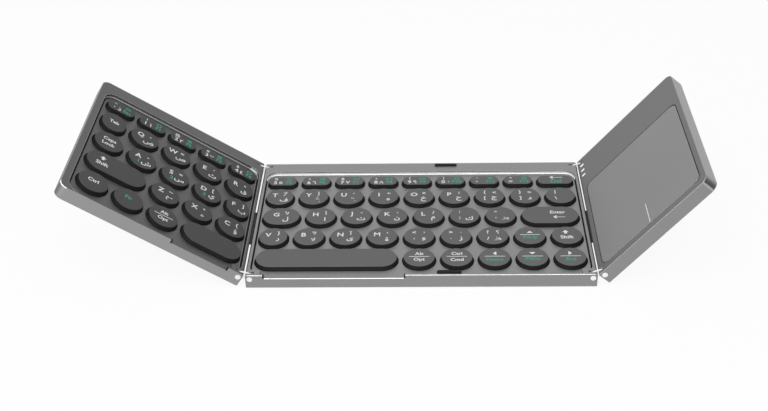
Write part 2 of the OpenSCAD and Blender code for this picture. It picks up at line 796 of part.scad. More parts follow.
// The opening that a flex cable passes through in a side wall
module flex_cut(x0, x1) {
  box(
    [x0, flex_y - flex_w / 2 - flex_clearance, flex_z - flex_t / 2 - flex_room],
    [x1, flex_y + flex_w / 2 + flex_clearance, flex_z + flex_t / 2 + flex_room]
  );
}

// The well of a keyed section, with hinge pads left standing in its front corners
module well(x0, x1, pad0, pad1) {
  well_front = front_y + front_wall;
  well_rear = rear_y - rear_border;
  difference() {
    translate([(x0 + x1) / 2, (well_front + well_rear) / 2, floor_z])
      rounded_block(x1 - x0, well_rear - well_front, well_r, well_depth + eps);
    if (pad0) hinge_pad(x0 - past, x0 + pad_w);
    if (pad1) hinge_pad(x1 - pad_w, x1 + past);
  }
}

module hinge_pad(x0, x1) {
  box([x0, front_y - past, floor_z - past], [x1, pad_rear_y, body_t + past]);
}

// A cut in the front wall, down to the floor of the well
module thumb_notch(x0, x1) {
  box([x0, front_y - past, floor_z], [x1, front_y + front_wall + past, body_t + past]);
}

// A bumper that stands on z; its recess is the same shape, grown by the seat's gap
module bumper(y, z, grow) {
  translate([bumper_x, y, z])
    rounded_block(bumper_w + 2 * grow, bumper_d + 2 * grow, bumper_d, body_t + bumper_rise - z);
}

// ---- Middle section ----

module mid_housing() {
  color(housing_colour) difference() {
    hollow_section(-mid_x, mid_x, inner_r, inner_r, roof_z);
    for (side = [-1, 1]) {
      edge_cut(side * mid_x, side);
      hinge_cuts(side * mid_pin_x, side);
    }
    well(-mid_x + rim_w, mid_x - rim_w, true, true);
    key_holes(mid_rows);
    thumb_notch(notch_left, notch_right);
    screw_bores(-mid_x, mid_x);
    bumper(rear_bumper_y, rear_bumper_z, seat_fit);
    bumper(front_bumper_y, front_bumper_z, seat_fit);
    flex_cut(-mid_x - past, -mid_x + side_wall + eps);
    flex_cut(mid_x - side_wall - eps, mid_x + past);
  }
}

module mid_bottom_cover() {
  bottom_cover(-mid_x, mid_x, inner_r, inner_r);
}

module mid_steel_plate() {
  color(metal_colour)
    inner_sheet(-mid_x + side_wall, mid_x - side_wall, plate_z, plate_t);
}

module mid_contact_sheet() {
  color("darkolivegreen")
    inner_sheet(-mid_x + side_wall, mid_x - side_wall, sheet_z, sheet_t);
}

module mid_dome_sheet() {
  color("gainsboro")
    dome_sheet(-mid_x + side_wall + flex_hold, mid_x - side_wall - flex_hold, mid_rows);
}

module mid_scissors() {
  color("whitesmoke") scissors(mid_rows);
}

module mid_bumpers() {
  color(rubber_colour) {
    bumper(rear_bumper_y, rear_bumper_z + touch, 0);
    bumper(front_bumper_y, front_bumper_z + touch, 0);
  }
}

module mid_feet() {
  feet(-mid_x, mid_x);
}

module mid_screws() {
  screws(-mid_x, mid_x);
}

// A bar magnet whose top face lies just below a given height
module magnet(x, top) {
  color(metal_colour) translate([x, magnet_y, top - touch - magnet_t])
    rounded_block(magnet_w, magnet_d, magnet_r, magnet_t);
}

module mid_magnets() {
  magnet(-mid_pin_x + left_magnet_x, roof_z);
  magnet(mid_pin_x - right_magnet_x, roof_z);
}

module mid_hinge_pins() {
  color(metal_colour) for (side = [-1, 1]) pin_pair(side * mid_pin_x);
}

// ---- Links and flex cables ----

module left_link(end) {
  color(metal_colour) translate([-mid_pin_x, 0, pin_z])
    rotate([0, left_link_fold - 180, 0]) link_plate(end);
}

module right_link(end) {
  color(metal_colour) translate([mid_pin_x, 0, pin_z])
    rotate([0, -right_link_fold, 0]) link_plate(end);
}

module left_front_link() {
  left_link(-1);
}

module left_rear_link() {
  left_link(1);
}

module right_front_link() {
  right_link(-1);
}

module right_rear_link() {
  right_link(1);
}

// A flat cable from inside the middle section, across the gap, into a wing. It is drawn in the
// x-z plane for the right side: the gap's far corner depends on the link's and the wing's tilt.
module flex_cable(link_fold, fold) {
  drop = flex_z - pin_z;
  leave = [pin_inset, drop];
  enter_x = link_length * cos(link_fold) - pin_inset * cos(fold) - drop * sin(fold);
  enter_z = link_length * sin(link_fold) - pin_inset * sin(fold) + drop * cos(fold);
  arrive = [enter_x, enter_z];
  along = [cos(fold), sin(fold)];
  up = [0, flex_t / 2];
  lift = [-sin(fold), cos(fold)] * flex_t / 2;
  inside = leave - [flex_hold, 0];
  far = arrive + along * flex_hold;
  translate([0, flex_y + flex_w / 2, pin_z]) rotate([90, 0, 0])
    linear_extrude(flex_w)
      polygon([
        inside - up, leave - up, arrive - lift, far - lift,
        far + lift, arrive + lift, leave + up, inside + up
      ]);
}

module left_flex_cable() {
  color(inner_colour) mirror([1, 0, 0])
    translate([mid_pin_x, 0, 0]) flex_cable(left_link_fold, left_fold);
}

module right_flex_cable() {
  color(inner_colour)
    translate([mid_pin_x, 0, 0]) flex_cable(right_link_fold, right_fold);
}

// ---- Left wing ----

module left_housing() {
  color(left_colour) in_left() difference() {
    hollow_section(-left_reach, pin_inset, corner_r, inner_r, roof_z);
    edge_cut(pin_inset, 1);
    hinge_cuts(0, 1);
    well(-left_reach + left_border, pin_inset - rim_w, false, true);
    key_holes(left_rows);
    thumb_notch(-left_notch_far, -left_notch_near);
    screw_bores(-left_reach, pin_inset);
    flex_cut(pin_inset - side_wall - eps, pin_inset + past);
  }
}

module left_bottom_cover() {
  in_left() bottom_cover(-left_reach, pin_inset, corner_r, inner_r);
}

module left_steel_plate() {
  color(metal_colour) in_left()
    inner_sheet(-left_reach + side_wall, pin_inset - side_wall, plate_z, plate_t);
}

module left_contact_sheet() {
  color("darkolivegreen") in_left()
    inner_sheet(-left_reach + side_wall, pin_inset - side_wall, sheet_z, sheet_t);
}

module left_dome_sheet() {
  color("gainsboro") in_left()
    dome_sheet(-left_reach + side_wall, pin_inset - side_wall - flex_hold, left_rows);
}

module left_scissors() {
  color("whitesmoke") in_left() scissors(left_rows);
}

module left_screws() {
  in_left() screws(-left_reach, pin_inset);
}

module left_feet() {
  in_left() feet(-left_reach, pin_inset);
}

module left_magnet() {
  in_left() magnet(-left_magnet_x, roof_z);
}

module left_hinge_pins() {
  color(metal_colour) in_left() pin_pair(0);
}

// ---- Right wing ----

module light_shape(grow, z0, z1) {
  for (i = [0:2])
    translate([light_x, light_y - i * light_pitch, z0])
      rounded_block(light_w + 2 * grow, light_d + 2 * grow, light_d, z1 - z0);
}

module socket_hole() {
  box(
    [socket_x - socket_w / 2 - inner_gap, inner_y - past, board_top - inner_gap],
    [socket_x + socket_w / 2 + inner_gap, rear_y + past, board_top + socket_h + inner_gap]
  );
}

// A bar along the touchpad's rear edge that it rocks on
module bead(r, l) {
  translate([touchpad_x, bead_y, touchpad_z]) rotate([0, 90, 0])
    cylinder(h = l, r = r, center = true);
}

// The ledge that carries the bead, under the top's edge behind the touchpad
module bead_ledge() {
  low = [touchpad_start + touchpad_r, touchpad_rear - sensor_margin + inner_gap];
  back = touchpad_rear + touchpad_clearance;
  z = right_roof_z - ledge_t;
  difference() {
    union() {
      box([low[0], low[1], z], [touchpad_end - touchpad_r, back + eps, touchpad_z - ledge_gap]);
      box([low[0], back, z], [touchpad_end - touchpad_r, back + ledge_hold, right_roof_z + eps]);
    }
    bead(bead_r + pin_fit, 2 * touchpad_w);
  }
}

module right_housing() {
  color(housing_colour) in_right() {
    difference() {
      hollow_section(-pin_inset, right_reach, inner_r, corner_r, right_roof_z);
      edge_cut(-pin_inset, -1);
      hinge_cuts(0, -1);
      translate([touchpad_x, touchpad_y, board_top])
        rounded_block(
          touchpad_w + 2 * touchpad_clearance, touchpad_d + 2 * touchpad_clearance,
          touchpad_r + touchpad_clearance, body_t + past - board_top
        );
      light_shape(seat_fit, right_roof_z - eps, body_t + past);
      screw_bores(-pin_inset, right_reach);
      socket_hole();
      flex_cut(-pin_inset - past, -pin_inset + side_wall + eps);
    }
    bead_ledge();
  }
}

module right_bottom_cover() {
  in_right() {
    bottom_cover(-pin_inset, right_reach, inner_r, corner_r);
    color(inner_colour) for (place = post_places)
      translate([place[0], place[1], cover_t - eps]) cylinder(h = post_h + eps, r = post_r);
  }
}

module touchpad_plate() {
  color([0.55, 0.55, 0.56]) in_right() {
    translate([touchpad_x, touchpad_y, touchpad_z])
      rounded_block(touchpad_w, touchpad_d, touchpad_r, touchpad_t);
    bead(bead_r, touchpad_w - 2 * touchpad_r);
  }
}

module touchpad_sensor() {
  color(board_colour) in_right()
    box(
      [touchpad_start + sensor_margin, touchpad_front + sensor_margin, sensor_z],
      [touchpad_end - sensor_margin, touchpad_rear - sensor_margin, sensor_z + board_t]
    );
}

module controller_board() {
  color(board_colour) in_right() translate([0, 0, board_z]) {
    box([board_x0, board_rear - board_rear_d, 0], [board_x1, board_rear, board_t]);
    box([board_x0, board_front, 0], [board_x1, board_front + board_front_d, board_t]);
    box([board_x0, board_front, 0], [board_x0 + board_side_w, board_rear, board_t]);
  }
}

module click_switches() {
  button_top = sensor_z - click_travel - switch_gap;
  color(metal_colour) in_right() for (share = [1, 3])
    translate([
      touchpad_start + share * touchpad_w / 4,
      board_front + board_front_d / 2, board_top + touch
    ]) {
      translate([-switch_w / 2, -switch_w / 2, 0]) cube([switch_w, switch_w, switch_t]);
      cylinder(h = button_top - board_top - touch, r = switch_r);
    }
}

module battery() {
  color("silver") in_right()
    translate([
      (board_x0 + board_side_w + board_x1) / 2,
      (board_front + board_front_d + board_rear - board_rear_d) / 2, cover_t + touch
    ])
      rounded_block(battery_w, battery_d, battery_r, battery_t);
}

module charging_socket() {
  color(metal_colour) in_right()
    translate([socket_x, rear_y - socket_inset - socket_d / 2, board_top + touch])
      difference() {
        translate([-socket_w / 2, -socket_d / 2, 0]) cube([socket_w, socket_d, socket_h]);
        translate([-socket_w / 2 + socket_wall, -socket_d / 2 + socket_wall, socket_wall])
          cube([socket_w - 2 * socket_wall, socket_d, socket_h - 2 * socket_wall]);
      }
}

module status_lights() {
  color("white") in_right() light_shape(0, board_top + touch, body_t);
}

module right_screws() {
  in_right() screws(-pin_inset, right_reach);
}

module right_feet() {
  in_right() feet(-pin_inset, right_reach);
}

module right_magnet() {
  in_right() magnet(right_magnet_x, right_roof_z);
}

module right_hinge_pins() {
  color(metal_colour) in_right() pin_pair(0);
}

// ---- Key groups ----

module mid_number_keys() {
  key_caps(mid_number_row, mid_rows[0]);
}

module backspace_key() {
  key_caps([backspace], mid_rows[0]);
}

module mid_upper_keys() {
  key_caps(mid_upper_row, mid_rows[1]);
}

module mid_home_keys() {
  key_caps(mid_home_row, mid_rows[2]);
}

module enter_key() {
  key_caps([enter], mid_rows[2]);
}

module mid_lower_keys() {
  key_caps(mid_lower_row, mid_rows[3]);
}

module right_shift_key() {
  key_caps([right_shift], mid_rows[3]);
}

module right_space_key() {
  key_caps([right_space], mid_rows[4]);
}

module right_modifier_keys() {
  key_caps(right_modifiers, mid_rows[4]);
}

module arrow_keys() {
  key_caps(front_arrows, mid_rows[4]);
  key_caps([up_arrow], mid_rows[3]);
}

module left_number_keys() {
  in_left() key_caps(left_number_row, left_rows[0]);
}

module tab_key() {
  in_left() key_caps([tab], left_rows[1]);
}

module left_upper_keys() {
  in_left() key_caps(left_upper_row, left_rows[1]);
}

module caps_lock_key() {
  in_left() key_caps([caps_lock], left_rows[2]);
}

module left_home_keys() {
  in_left() key_caps(left_home_row, left_rows[2]);
}

module left_shift_key() {
  in_left() key_caps([left_shift], left_rows[3]);
}

module left_lower_keys() {
  in_left() key_caps(left_lower_row, left_rows[3]);
}

module left_space_key() {
  in_left() key_caps([left_space], left_rows[4]);
}

module left_modifier_keys() {
  in_left() key_caps(left_modifiers, left_rows[4]);
}

mid_housing();
mid_bottom_cover();
mid_steel_plate();
mid_contact_sheet();
mid_dome_sheet();
mid_scissors();
mid_bumpers();
mid_feet();
mid_screws();
mid_magnets();
mid_hinge_pins();
left_front_link();
left_rear_link();
right_front_link();
right_rear_link();
left_flex_cable();
right_flex_cable();
left_housing();
left_bottom_cover();
left_steel_plate();
left_contact_sheet();
left_dome_sheet();
left_scissors();
left_screws();
left_feet();
left_magnet();
left_hinge_pins();
right_housing();
right_bottom_cover();
touchpad_plate();
touchpad_sensor();
click_switches();
controller_board();
battery();
charging_socket();
status_lights();
right_screws();
right_feet();
right_magnet();
right_hinge_pins();
mid_number_keys();
backspace_key();
mid_upper_keys();
mid_home_keys();
enter_key();
mid_lower_keys();
right_shift_key();
right_space_key();
right_modifier_keys();
arrow_keys();
left_number_keys();
tab_key();
left_upper_keys();
caps_lock_key();
left_home_keys();
left_shift_key();
left_lower_keys();
left_space_key();
left_modifier_keys();
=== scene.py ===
"""Looks of the folding keyboard: finishes, edge strips, rounded rubber, bending flex cables, key
caps with legends, touchpad marks and a plain white studio. Lengths are in metres, in the frame
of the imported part, except where a part of this file says millimetres."""
import json
import math

import bmesh
import bpy
from mathutils import Matrix, Vector


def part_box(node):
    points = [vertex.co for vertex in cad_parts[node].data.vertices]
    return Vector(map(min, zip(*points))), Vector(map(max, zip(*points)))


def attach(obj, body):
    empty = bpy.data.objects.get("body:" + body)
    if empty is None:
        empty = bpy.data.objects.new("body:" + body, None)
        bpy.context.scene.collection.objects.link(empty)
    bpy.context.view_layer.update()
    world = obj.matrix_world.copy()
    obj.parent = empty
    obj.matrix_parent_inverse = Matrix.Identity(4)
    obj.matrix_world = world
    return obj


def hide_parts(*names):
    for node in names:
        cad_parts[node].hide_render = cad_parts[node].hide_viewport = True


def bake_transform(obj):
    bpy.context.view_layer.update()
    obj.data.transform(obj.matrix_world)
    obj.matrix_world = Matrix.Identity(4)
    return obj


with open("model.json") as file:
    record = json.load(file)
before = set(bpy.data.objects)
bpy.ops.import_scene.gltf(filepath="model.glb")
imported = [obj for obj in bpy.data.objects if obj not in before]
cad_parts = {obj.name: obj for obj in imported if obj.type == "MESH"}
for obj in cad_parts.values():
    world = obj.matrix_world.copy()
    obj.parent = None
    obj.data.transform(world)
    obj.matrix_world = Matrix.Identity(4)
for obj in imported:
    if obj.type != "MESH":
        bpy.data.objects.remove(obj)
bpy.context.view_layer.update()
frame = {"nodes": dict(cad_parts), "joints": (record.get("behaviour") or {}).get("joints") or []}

MM = 0.001
ALONG, UP = 0, 2  # axes of a section's frame
WELD = 1e-6  # points closer than this are one
SOFT_WELD = 2e-6
ROW_PITCH = 2 * MM  # solids are in one row if their fronts are in one step of this size
NODES = frame["nodes"]
JOINTS = {joint["name"]: joint for joint in frame["joints"]}
FLOOR_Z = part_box("mid_feet")[0].z


def link(thing):
    """Puts an object into the scene."""
    bpy.context.scene.collection.objects.link(thing)
    return thing


def finished(name, mesh):
    """Mesh data made from an edited mesh, which is freed."""
    data = bpy.data.meshes.new(name)
    mesh.to_mesh(data)
    mesh.free()
    return data


# ---- Camera ----

CAMERA_PLACE = Vector((1.333, -479.713, 325.131)) * MM
CAMERA_TURN = (56.848, 1.242, 1.285)  # degrees
CAMERA_LENS = 60.29
SENSOR_W = 36


def add_camera():
    """The photograph's camera."""
    data = bpy.data.cameras.new("camera")
    data.lens = CAMERA_LENS
    data.sensor_width = SENSOR_W
    data.clip_start = 0.01
    data.clip_end = 50
    camera = bpy.data.objects.new("camera", data)
    camera.location = CAMERA_PLACE
    camera.rotation_euler = [math.radians(angle) for angle in CAMERA_TURN]
    bpy.context.scene.camera = link(camera)


# ---- Sections: each has its own frame, x along it, y to the back, z out of its keys ----

PIN_Z = JOINTS["left_inner_hinge"]["pos_m"][2]


def section_frame(pins, along):
    """The frame of a wing whose pins lie at a place, with z = 0 on its underside."""
    along = Vector(along).normalized()
    up = Vector((-along.z, 0, along.x))
    back = Vector((0, 1, 0))
    origin = Vector(pins) - up * PIN_Z
    turn = Matrix((along, back, up)).transposed()
    return Matrix.Translation(origin) @ turn.to_4x4()


left_down = JOINTS["left_number_press"]["axis"]
SECTIONS = {
    "middle": Matrix.Identity(4),
    "left": section_frame(
        JOINTS["left_outer_hinge"]["pos_m"], (-left_down[2], 0, left_down[0])
    ),
    "right": section_frame(
        JOINTS["right_outer_hinge"]["pos_m"], JOINTS["touchpad_click"]["axis"]
    ),
}


def box_of(points):
    """Lowest and highest corner of some points."""
    low = Vector([min(point[i] for point in points) for i in range(3)])
    high = Vector([max(point[i] for point in points) for i in range(3)])
    return low, high


def local_box(node, section):
    """Lowest and highest corner of a CAD node in a section's frame."""
    back = SECTIONS[section].inverted()
    return box_of([back @ vertex.co for vertex in NODES[node].data.vertices])


def solids(node, section):
    """Boxes of a CAD node's separate solids in a section's frame, from the rear row forward."""
    mesh = bmesh.new()
    mesh.from_mesh(NODES[node].data)
    bmesh.ops.remove_doubles(mesh, verts=mesh.verts, dist=WELD)
    mesh.transform(SECTIONS[section].inverted())
    left = set(mesh.verts)
    boxes = []
    while left:
        stack = [left.pop()]
        found = []
        while stack:
            vertex = stack.pop()
            found.append(vertex.co.copy())
            for edge in vertex.link_edges:
                other = edge.other_vert(vertex)
                if other in left:
                    left.remove(other)
                    stack.append(other)
        boxes.append(box_of(found))
    mesh.free()
    return sorted(boxes, key=lambda box: (-round(box[0].y / ROW_PITCH), box[0].x))


# ---- Materials ----

CLOUD_SCALE = 18  # of the slow change of colour, per metre
GRAIN_STRENGTH = 0.35
BRIGHTEST = 2  # highest level that a finish is multiplied by
LIGHT_WHITE = (0.86, 0.88, 0.88)


def new_material(name, colour, metal=0.0, rough=0.5):
    """A material with one principled shader, as (material, nodes, links, shader)."""
    material = bpy.data.materials.new(name)
    material.use_nodes = True
    nodes = material.node_tree.nodes
    shader = nodes["Principled BSDF"]
    shader.inputs["Base Color"].default_value = (*colour, 1)
    shader.inputs["Metallic"].default_value = metal
    shader.inputs["Roughness"].default_value = rough
    return material, nodes, material.node_tree.links, shader


def add_grain(nodes, links, shader, scale, height, colour, spread, rough=None, rough_spread=0.0):
    """Fine grain: bump, a slight change of colour and of roughness, at a scale per metre."""
    place = nodes.new("ShaderNodeTexCoord")
    noise = nodes.new("ShaderNodeTexNoise")
    noise.inputs["Scale"].default_value = scale
    noise.inputs["Detail"].default_value = 4
    links.new(place.outputs["Object"], noise.inputs["Vector"])
    bump = nodes.new("ShaderNodeBump")
    bump.inputs["Strength"].default_value = GRAIN_STRENGTH
    bump.inputs["Distance"].default_value = height
    links.new(noise.outputs["Fac"], bump.inputs["Height"])
    links.new(bump.outputs["Normal"], shader.inputs["Normal"])
    cloud = nodes.new("ShaderNodeTexNoise")
    cloud.inputs["Scale"].default_value = CLOUD_SCALE
    cloud.inputs["Detail"].default_value = 3
    links.new(place.outputs["Object"], cloud.inputs["Vector"])
    both = nodes.new("ShaderNodeMath")
    both.operation = "ADD"
    links.new(noise.outputs["Fac"], both.inputs[0])
    links.new(cloud.outputs["Fac"], both.inputs[1])
    ramp = nodes.new("ShaderNodeMapRange")
    ramp.inputs["From Min"].default_value = 0.6
    ramp.inputs["From Max"].default_value = 1.4
    links.new(both.outputs["Value"], ramp.inputs["Value"])
    mix = nodes.new("ShaderNodeMix")
    mix.data_type = "RGBA"
    mix.inputs["A"].default_value = (*[c * (1 - spread) for c in colour], 1)
    mix.inputs["B"].default_value = (*[c * (1 + spread) for c in colour], 1)
    links.new(ramp.outputs["Result"], mix.inputs["Factor"])
    links.new(mix.outputs["Result"], shader.inputs["Base Color"])
    if rough is not None:
        vary = nodes.new("ShaderNodeMapRange")
        vary.inputs["To Min"].default_value = rough - rough_spread
        vary.inputs["To Max"].default_value = rough + rough_spread
        links.new(noise.outputs["Fac"], vary.inputs["Value"])
        links.new(vary.outputs["Result"], shader.inputs["Roughness"])


def anodised(name, colour, rough=0.42, metal=0.55):
    """Bead-blasted anodised aluminium."""
    material, nodes, links, shader = new_material(name, colour, metal, rough)
    add_grain(nodes, links, shader, 5200, 0.00002, colour, 0.05, rough, 0.06)
    return material


def paint_light_by_facing(material, section, axis, stops):
    """Paints light and shade into a finish: multiplies it by a level that depends on how far a
    face looks along an axis.

    The axis is one of the section's frame, and the stops are {cosine: level up to BRIGHTEST}.
    """
    nodes = material.node_tree.nodes
    links = material.node_tree.links
    shader = nodes["Principled BSDF"]
    colour = shader.inputs["Base Color"].links[0].from_socket
    place = nodes.new("ShaderNodeTexCoord")
    facing = nodes.new("ShaderNodeVectorMath")
    facing.operation = "DOT_PRODUCT"
    facing.inputs[1].default_value = SECTIONS[section].col[axis].to_3d()
    links.new(place.outputs["Normal"], facing.inputs[0])
    share = nodes.new("ShaderNodeMapRange")
    share.inputs["From Min"].default_value = -1
    links.new(facing.outputs["Value"], share.inputs["Value"])
    ramp = nodes.new("ShaderNodeValToRGB")
    elements = ramp.color_ramp.elements
    elements.remove(elements[1])
    first, *others = sorted(stops)
    elements[0].position = (first + 1) / 2
    elements[0].color = (*[stops[first] / BRIGHTEST] * 3, 1)
    for cosine in others:
        elements.new((cosine + 1) / 2).color = (*[stops[cosine] / BRIGHTEST] * 3, 1)
    links.new(share.outputs["Result"], ramp.inputs["Fac"])
    level = nodes.new("ShaderNodeVectorMath")
    level.operation = "SCALE"
    level.inputs["Scale"].default_value = BRIGHTEST
    links.new(ramp.outputs["Color"], level.inputs[0])
    product = nodes.new("ShaderNodeVectorMath")
    product.operation = "MULTIPLY"
    links.new(colour, product.inputs[0])
    links.new(level.outputs["Vector"], product.inputs[1])
    links.new(product.outputs["Vector"], shader.inputs["Base Color"])


def plastic(name, colour, rough=0.5, spread=0.06, shine=0.5):
    """Moulded plastic with a fine matt grain."""
    material, nodes, links, shader = new_material(name, colour, 0, rough)
    shader.inputs["Specular IOR Level"].default_value = shine
    add_grain(nodes, links, shader, 3600, 0.00002, colour, spread, rough, 0.05)
    return material


def steel(name, colour, rough=0.22):
    """Bare or plated metal with a fine grain."""
    material, nodes, links, shader = new_material(name, colour, 1, rough)
    add_grain(nodes, links, shader, 2400, 0.00001, colour, 0.04, rough, 0.05)
    return material


def ink(name, colour):
    """Printed legend."""
    material, nodes, links, shader = new_material(name, colour, 0, 0.5)
    add_grain(nodes, links, shader, 2500, 0.000005, colour, 0.05)
    return material


def light_pipe():
    """Clear plastic of the status lights, which glows a little."""
    material, nodes, links, shader = new_material("light_pipe", LIGHT_WHITE, 0, 0.2)
    add_grain(nodes, links, shader, 900, 0.00001, LIGHT_WHITE, 0.03, 0.2, 0.04)
    shader.inputs["Emission Color"].default_value = (1, 1, 1, 1)
    shader.inputs["Emission Strength"].default_value = 0.25
    return material


deck_metal = anodised("deck_metal", (0.262, 0.262, 0.264))
# The left wing's finish: a lighter base for painted light on its front, with painted shade on its
# top and outer end
left_metal_painted_light = anodised("left_metal_painted_light", (0.29, 0.29, 0.292))
paint_light_by_facing(left_metal_painted_light, "left", UP, {0.6: 1, 0.95: 0.36})  # painted shade: a darker top
paint_light_by_facing(left_metal_painted_light, "left", ALONG, {-0.9: 0.4, -0.5: 1})  # painted shade: a darker outer end
# The right wing's finish, with painted shade on its top and a painted reflection on its outer
# corners and end
right_metal_painted_light = anodised("right_metal_painted_light", (0.262, 0.262, 0.264))
paint_light_by_facing(right_metal_painted_light, "right", UP, {0.6: 1, 0.95: 0.6})
paint_light_by_facing(  # painted reflection: the bright and the dark band of a mirrored dark wall, and a painted highlight on the end face
    right_metal_painted_light, "right", ALONG, {0.1: 1, 0.3: 1.7, 0.45: 0.24, 0.75: 0.32, 0.95: 1, 1: 1.2}
)
cover_metal = anodised("cover_metal", (0.16, 0.16, 0.165), 0.5)
pad_surface = plastic("pad_surface", (0.22, 0.22, 0.222), 0.38, 0.03)
# Painted shade for strips on walls, floors, grooves, notch ends and hinge edges
painted_shade_dark = plastic("painted_shade_dark", (0.010, 0.010, 0.010), 0.7, 0.06, 0.15)
# Key caps: lighter tops for a painted sheen, darker sides for painted shade, and the left wing's
# tops darker still, painted shade
key_top = plastic("key_top", (0.118, 0.118, 0.120), 0.6, 0.05, 0.3)
left_key_top = plastic("left_key_top", (0.055, 0.055, 0.056), 0.6, 0.05, 0.3)
key_side_painted_shade = plastic("key_side_painted_shade", (0.012, 0.012, 0.012), 0.62, 0.06, 0.15)
white_ink = ink("white_ink", (0.80, 0.80, 0.80))
teal_ink = ink("teal_ink", (0.02, 0.33, 0.23))
bright_steel = steel("bright_steel", (0.9, 0.9, 0.9))
cut_edge = steel("cut_edge", (0.86, 0.86, 0.87), 0.3)
# Painted glints on a well's rear wall and on corners
painted_glint = anodised("painted_glint", (0.93, 0.93, 0.93), 0.3, 0.1)
# Rounded edges in a lighter colour for a painted highlight, also painted light lines on walls and
# floors
soft_edge_painted_light = anodised("soft_edge_painted_light", (0.30, 0.30, 0.303), 0.3, 0.7)
satin_steel = steel("satin_steel", (0.55, 0.55, 0.57), 0.35)
black_rubber = plastic("black_rubber", (0.011, 0.011, 0.0115), 0.75, 0.06, 0.2)
contact_film = plastic("contact_film", (0.05, 0.07, 0.05), 0.35)
dome_rubber = plastic("dome_rubber", (0.5, 0.5, 0.49), 0.4)
nylon = plastic("nylon", (0.62, 0.62, 0.60), 0.45)
nickel = steel("nickel", (0.66, 0.66, 0.68), 0.12)
flex_film = plastic("flex_film", (0.13, 0.13, 0.135), 0.4)
board_green = plastic("board_green", (0.01, 0.08, 0.035), 0.35)
foil = steel("foil", (0.5, 0.51, 0.53), 0.4)
lamp_white = light_pipe()

FINISH = {
    "mid_housing": deck_metal,
    "left_housing": left_metal_painted_light,
    "right_housing": right_metal_painted_light,
    "mid_bottom_cover": cover_metal,
    "left_bottom_cover": cover_metal,
    "right_bottom_cover": cover_metal,
    "mid_steel_plate": satin_steel,
    "left_steel_plate": satin_steel,
    "mid_contact_sheet": contact_film,
    "left_contact_sheet": contact_film,
    "mid_dome_sheet": dome_rubber,
    "left_dome_sheet": dome_rubber,
    "mid_scissors": nylon,
    "left_scissors": nylon,
    "mid_bumpers": black_rubber,
    "mid_feet": black_rubber,
    "left_feet": black_rubber,
    "right_feet": black_rubber,
    "mid_screws": satin_steel,
    "left_screws": satin_steel,
    "right_screws": satin_steel,
    "mid_magnets": nickel,
    "left_magnet": nickel,
    "right_magnet": nickel,
    "mid_hinge_pins": bright_steel,
    "left_hinge_pins": bright_steel,
    "right_hinge_pins": bright_steel,
    "left_front_link": bright_steel,
    "left_rear_link": bright_steel,
    "right_front_link": bright_steel,
    "right_rear_link": bright_steel,
    "left_flex_cable": flex_film,
    "right_flex_cable": flex_film,
    "touchpad_plate": pad_surface,
    "touchpad_sensor": board_green,
    "click_switches": satin_steel,
    "controller_board": board_green,
    "battery": foil,
    "charging_socket": satin_steel,
    "status_lights": lamp_white,
}


def paint_frame():
    """Gives the CAD nodes their finishes."""
    for node, material in FINISH.items():
        NODES[node].data.materials.clear()
        NODES[node].data.materials.append(material)


# ---- Making pieces ----

def new_piece(name, mesh_data, body, materials, replaces=()):
    """A piece that rides on a body, and stands for CAD nodes if it replaces any."""
    piece = link(bpy.data.objects.new(name, mesh_data))
    for material in materials:
        mesh_data.materials.append(material)
    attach(piece, body)
    if replaces:
        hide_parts(*replaces)
    return piece


RUBBER_EDGE = 0.15 * MM  # how far the rubber parts' edges are rounded
RUBBER_SEGMENTS = 3
FLAT_ANGLE = 0.5  # degrees; faces that differ by less are one
SHARP_ANGLE = 40  # degrees; edges that turn by more are rounded


def soft_copy(node):
    """A copy of a CAD node of plain solids with rounded edges."""
    mesh = bmesh.new()
    mesh.from_mesh(NODES[node].data)
    bmesh.ops.remove_doubles(mesh, verts=mesh.verts, dist=SOFT_WELD)
    bmesh.ops.dissolve_limit(
        mesh, angle_limit=math.radians(FLAT_ANGLE), verts=mesh.verts, edges=mesh.edges
    )
    data = finished(node + "_soft", mesh)
    data.materials.clear()
    data.shade_smooth()
    piece = link(bpy.data.objects.new(node + "_soft", data))
    bevel = piece.modifiers.new("soft_edges", "BEVEL")
    bevel.width = RUBBER_EDGE
    bevel.segments = RUBBER_SEGMENTS
    bevel.limit_method = "ANGLE"
    bevel.angle_limit = math.radians(SHARP_ANGLE)
    bevel.harden_normals = True
    graph = bpy.context.evaluated_depsgraph_get()
    result = bpy.data.meshes.new_from_object(piece.evaluated_get(graph))
    bpy.data.objects.remove(piece)
    return result


def add_soft_rubber():
    """Feet and bumpers with rounded rubber edges."""
    bodies = {
        "mid_bumpers": "middle", "mid_feet": "middle", "left_feet": "left_wing",
        "right_feet": "right_wing",
    }
    for node, body in bodies.items():
        new_piece(
            node + "_soft", soft_copy(node), body, [FINISH[node]], [node]
        )


# ---- Strips along the housings' edges, in the colours of their bevels, painted highlights, painted reflections and painted shade ----
# Lengths are in millimetres here, and profiles are (out of the wall, up from the path). The
# strips' colours are the same from every side.

STAND_OFF = 0.012  # how far a strip stands off the housing
THICK = 2 * STAND_OFF  # the same for a strip that lies over another one
THICKEST = 3 * STAND_OFF
ROOT = 0.05  # how far a strip reaches into the housing
EDGE_ROOT = (-ROOT, -ROOT)  # on a top edge, out and up
UNDER_ROOT = (-ROOT, ROOT)
WALL_ROOT = (-ROOT, 0)
FLAT_ROOT = (0, -ROOT)

BODY_T = 6.2
HALF_D = local_box("mid_housing", "middle")[1].y / MM
HALF_W = local_box("mid_housing", "middle")[1].x / MM
LEFT_END = -local_box("left_housing", "left")[0].x / MM
RIGHT_END = local_box("right_housing", "right")[1].x / MM
EDGE_X = local_box("left_housing", "left")[1].x / MM  # from the pins to the hinge edge
CORNER_R = 3.5
HINGE_ROUND = 1  # radius of the top edges beside the hinges
HINGE_SPAN = (-40.8, 40.8)  # between the links' seats
ROUNDING = range(30, 91, 10)  # angles of the part of that radius in painted shade, in degrees

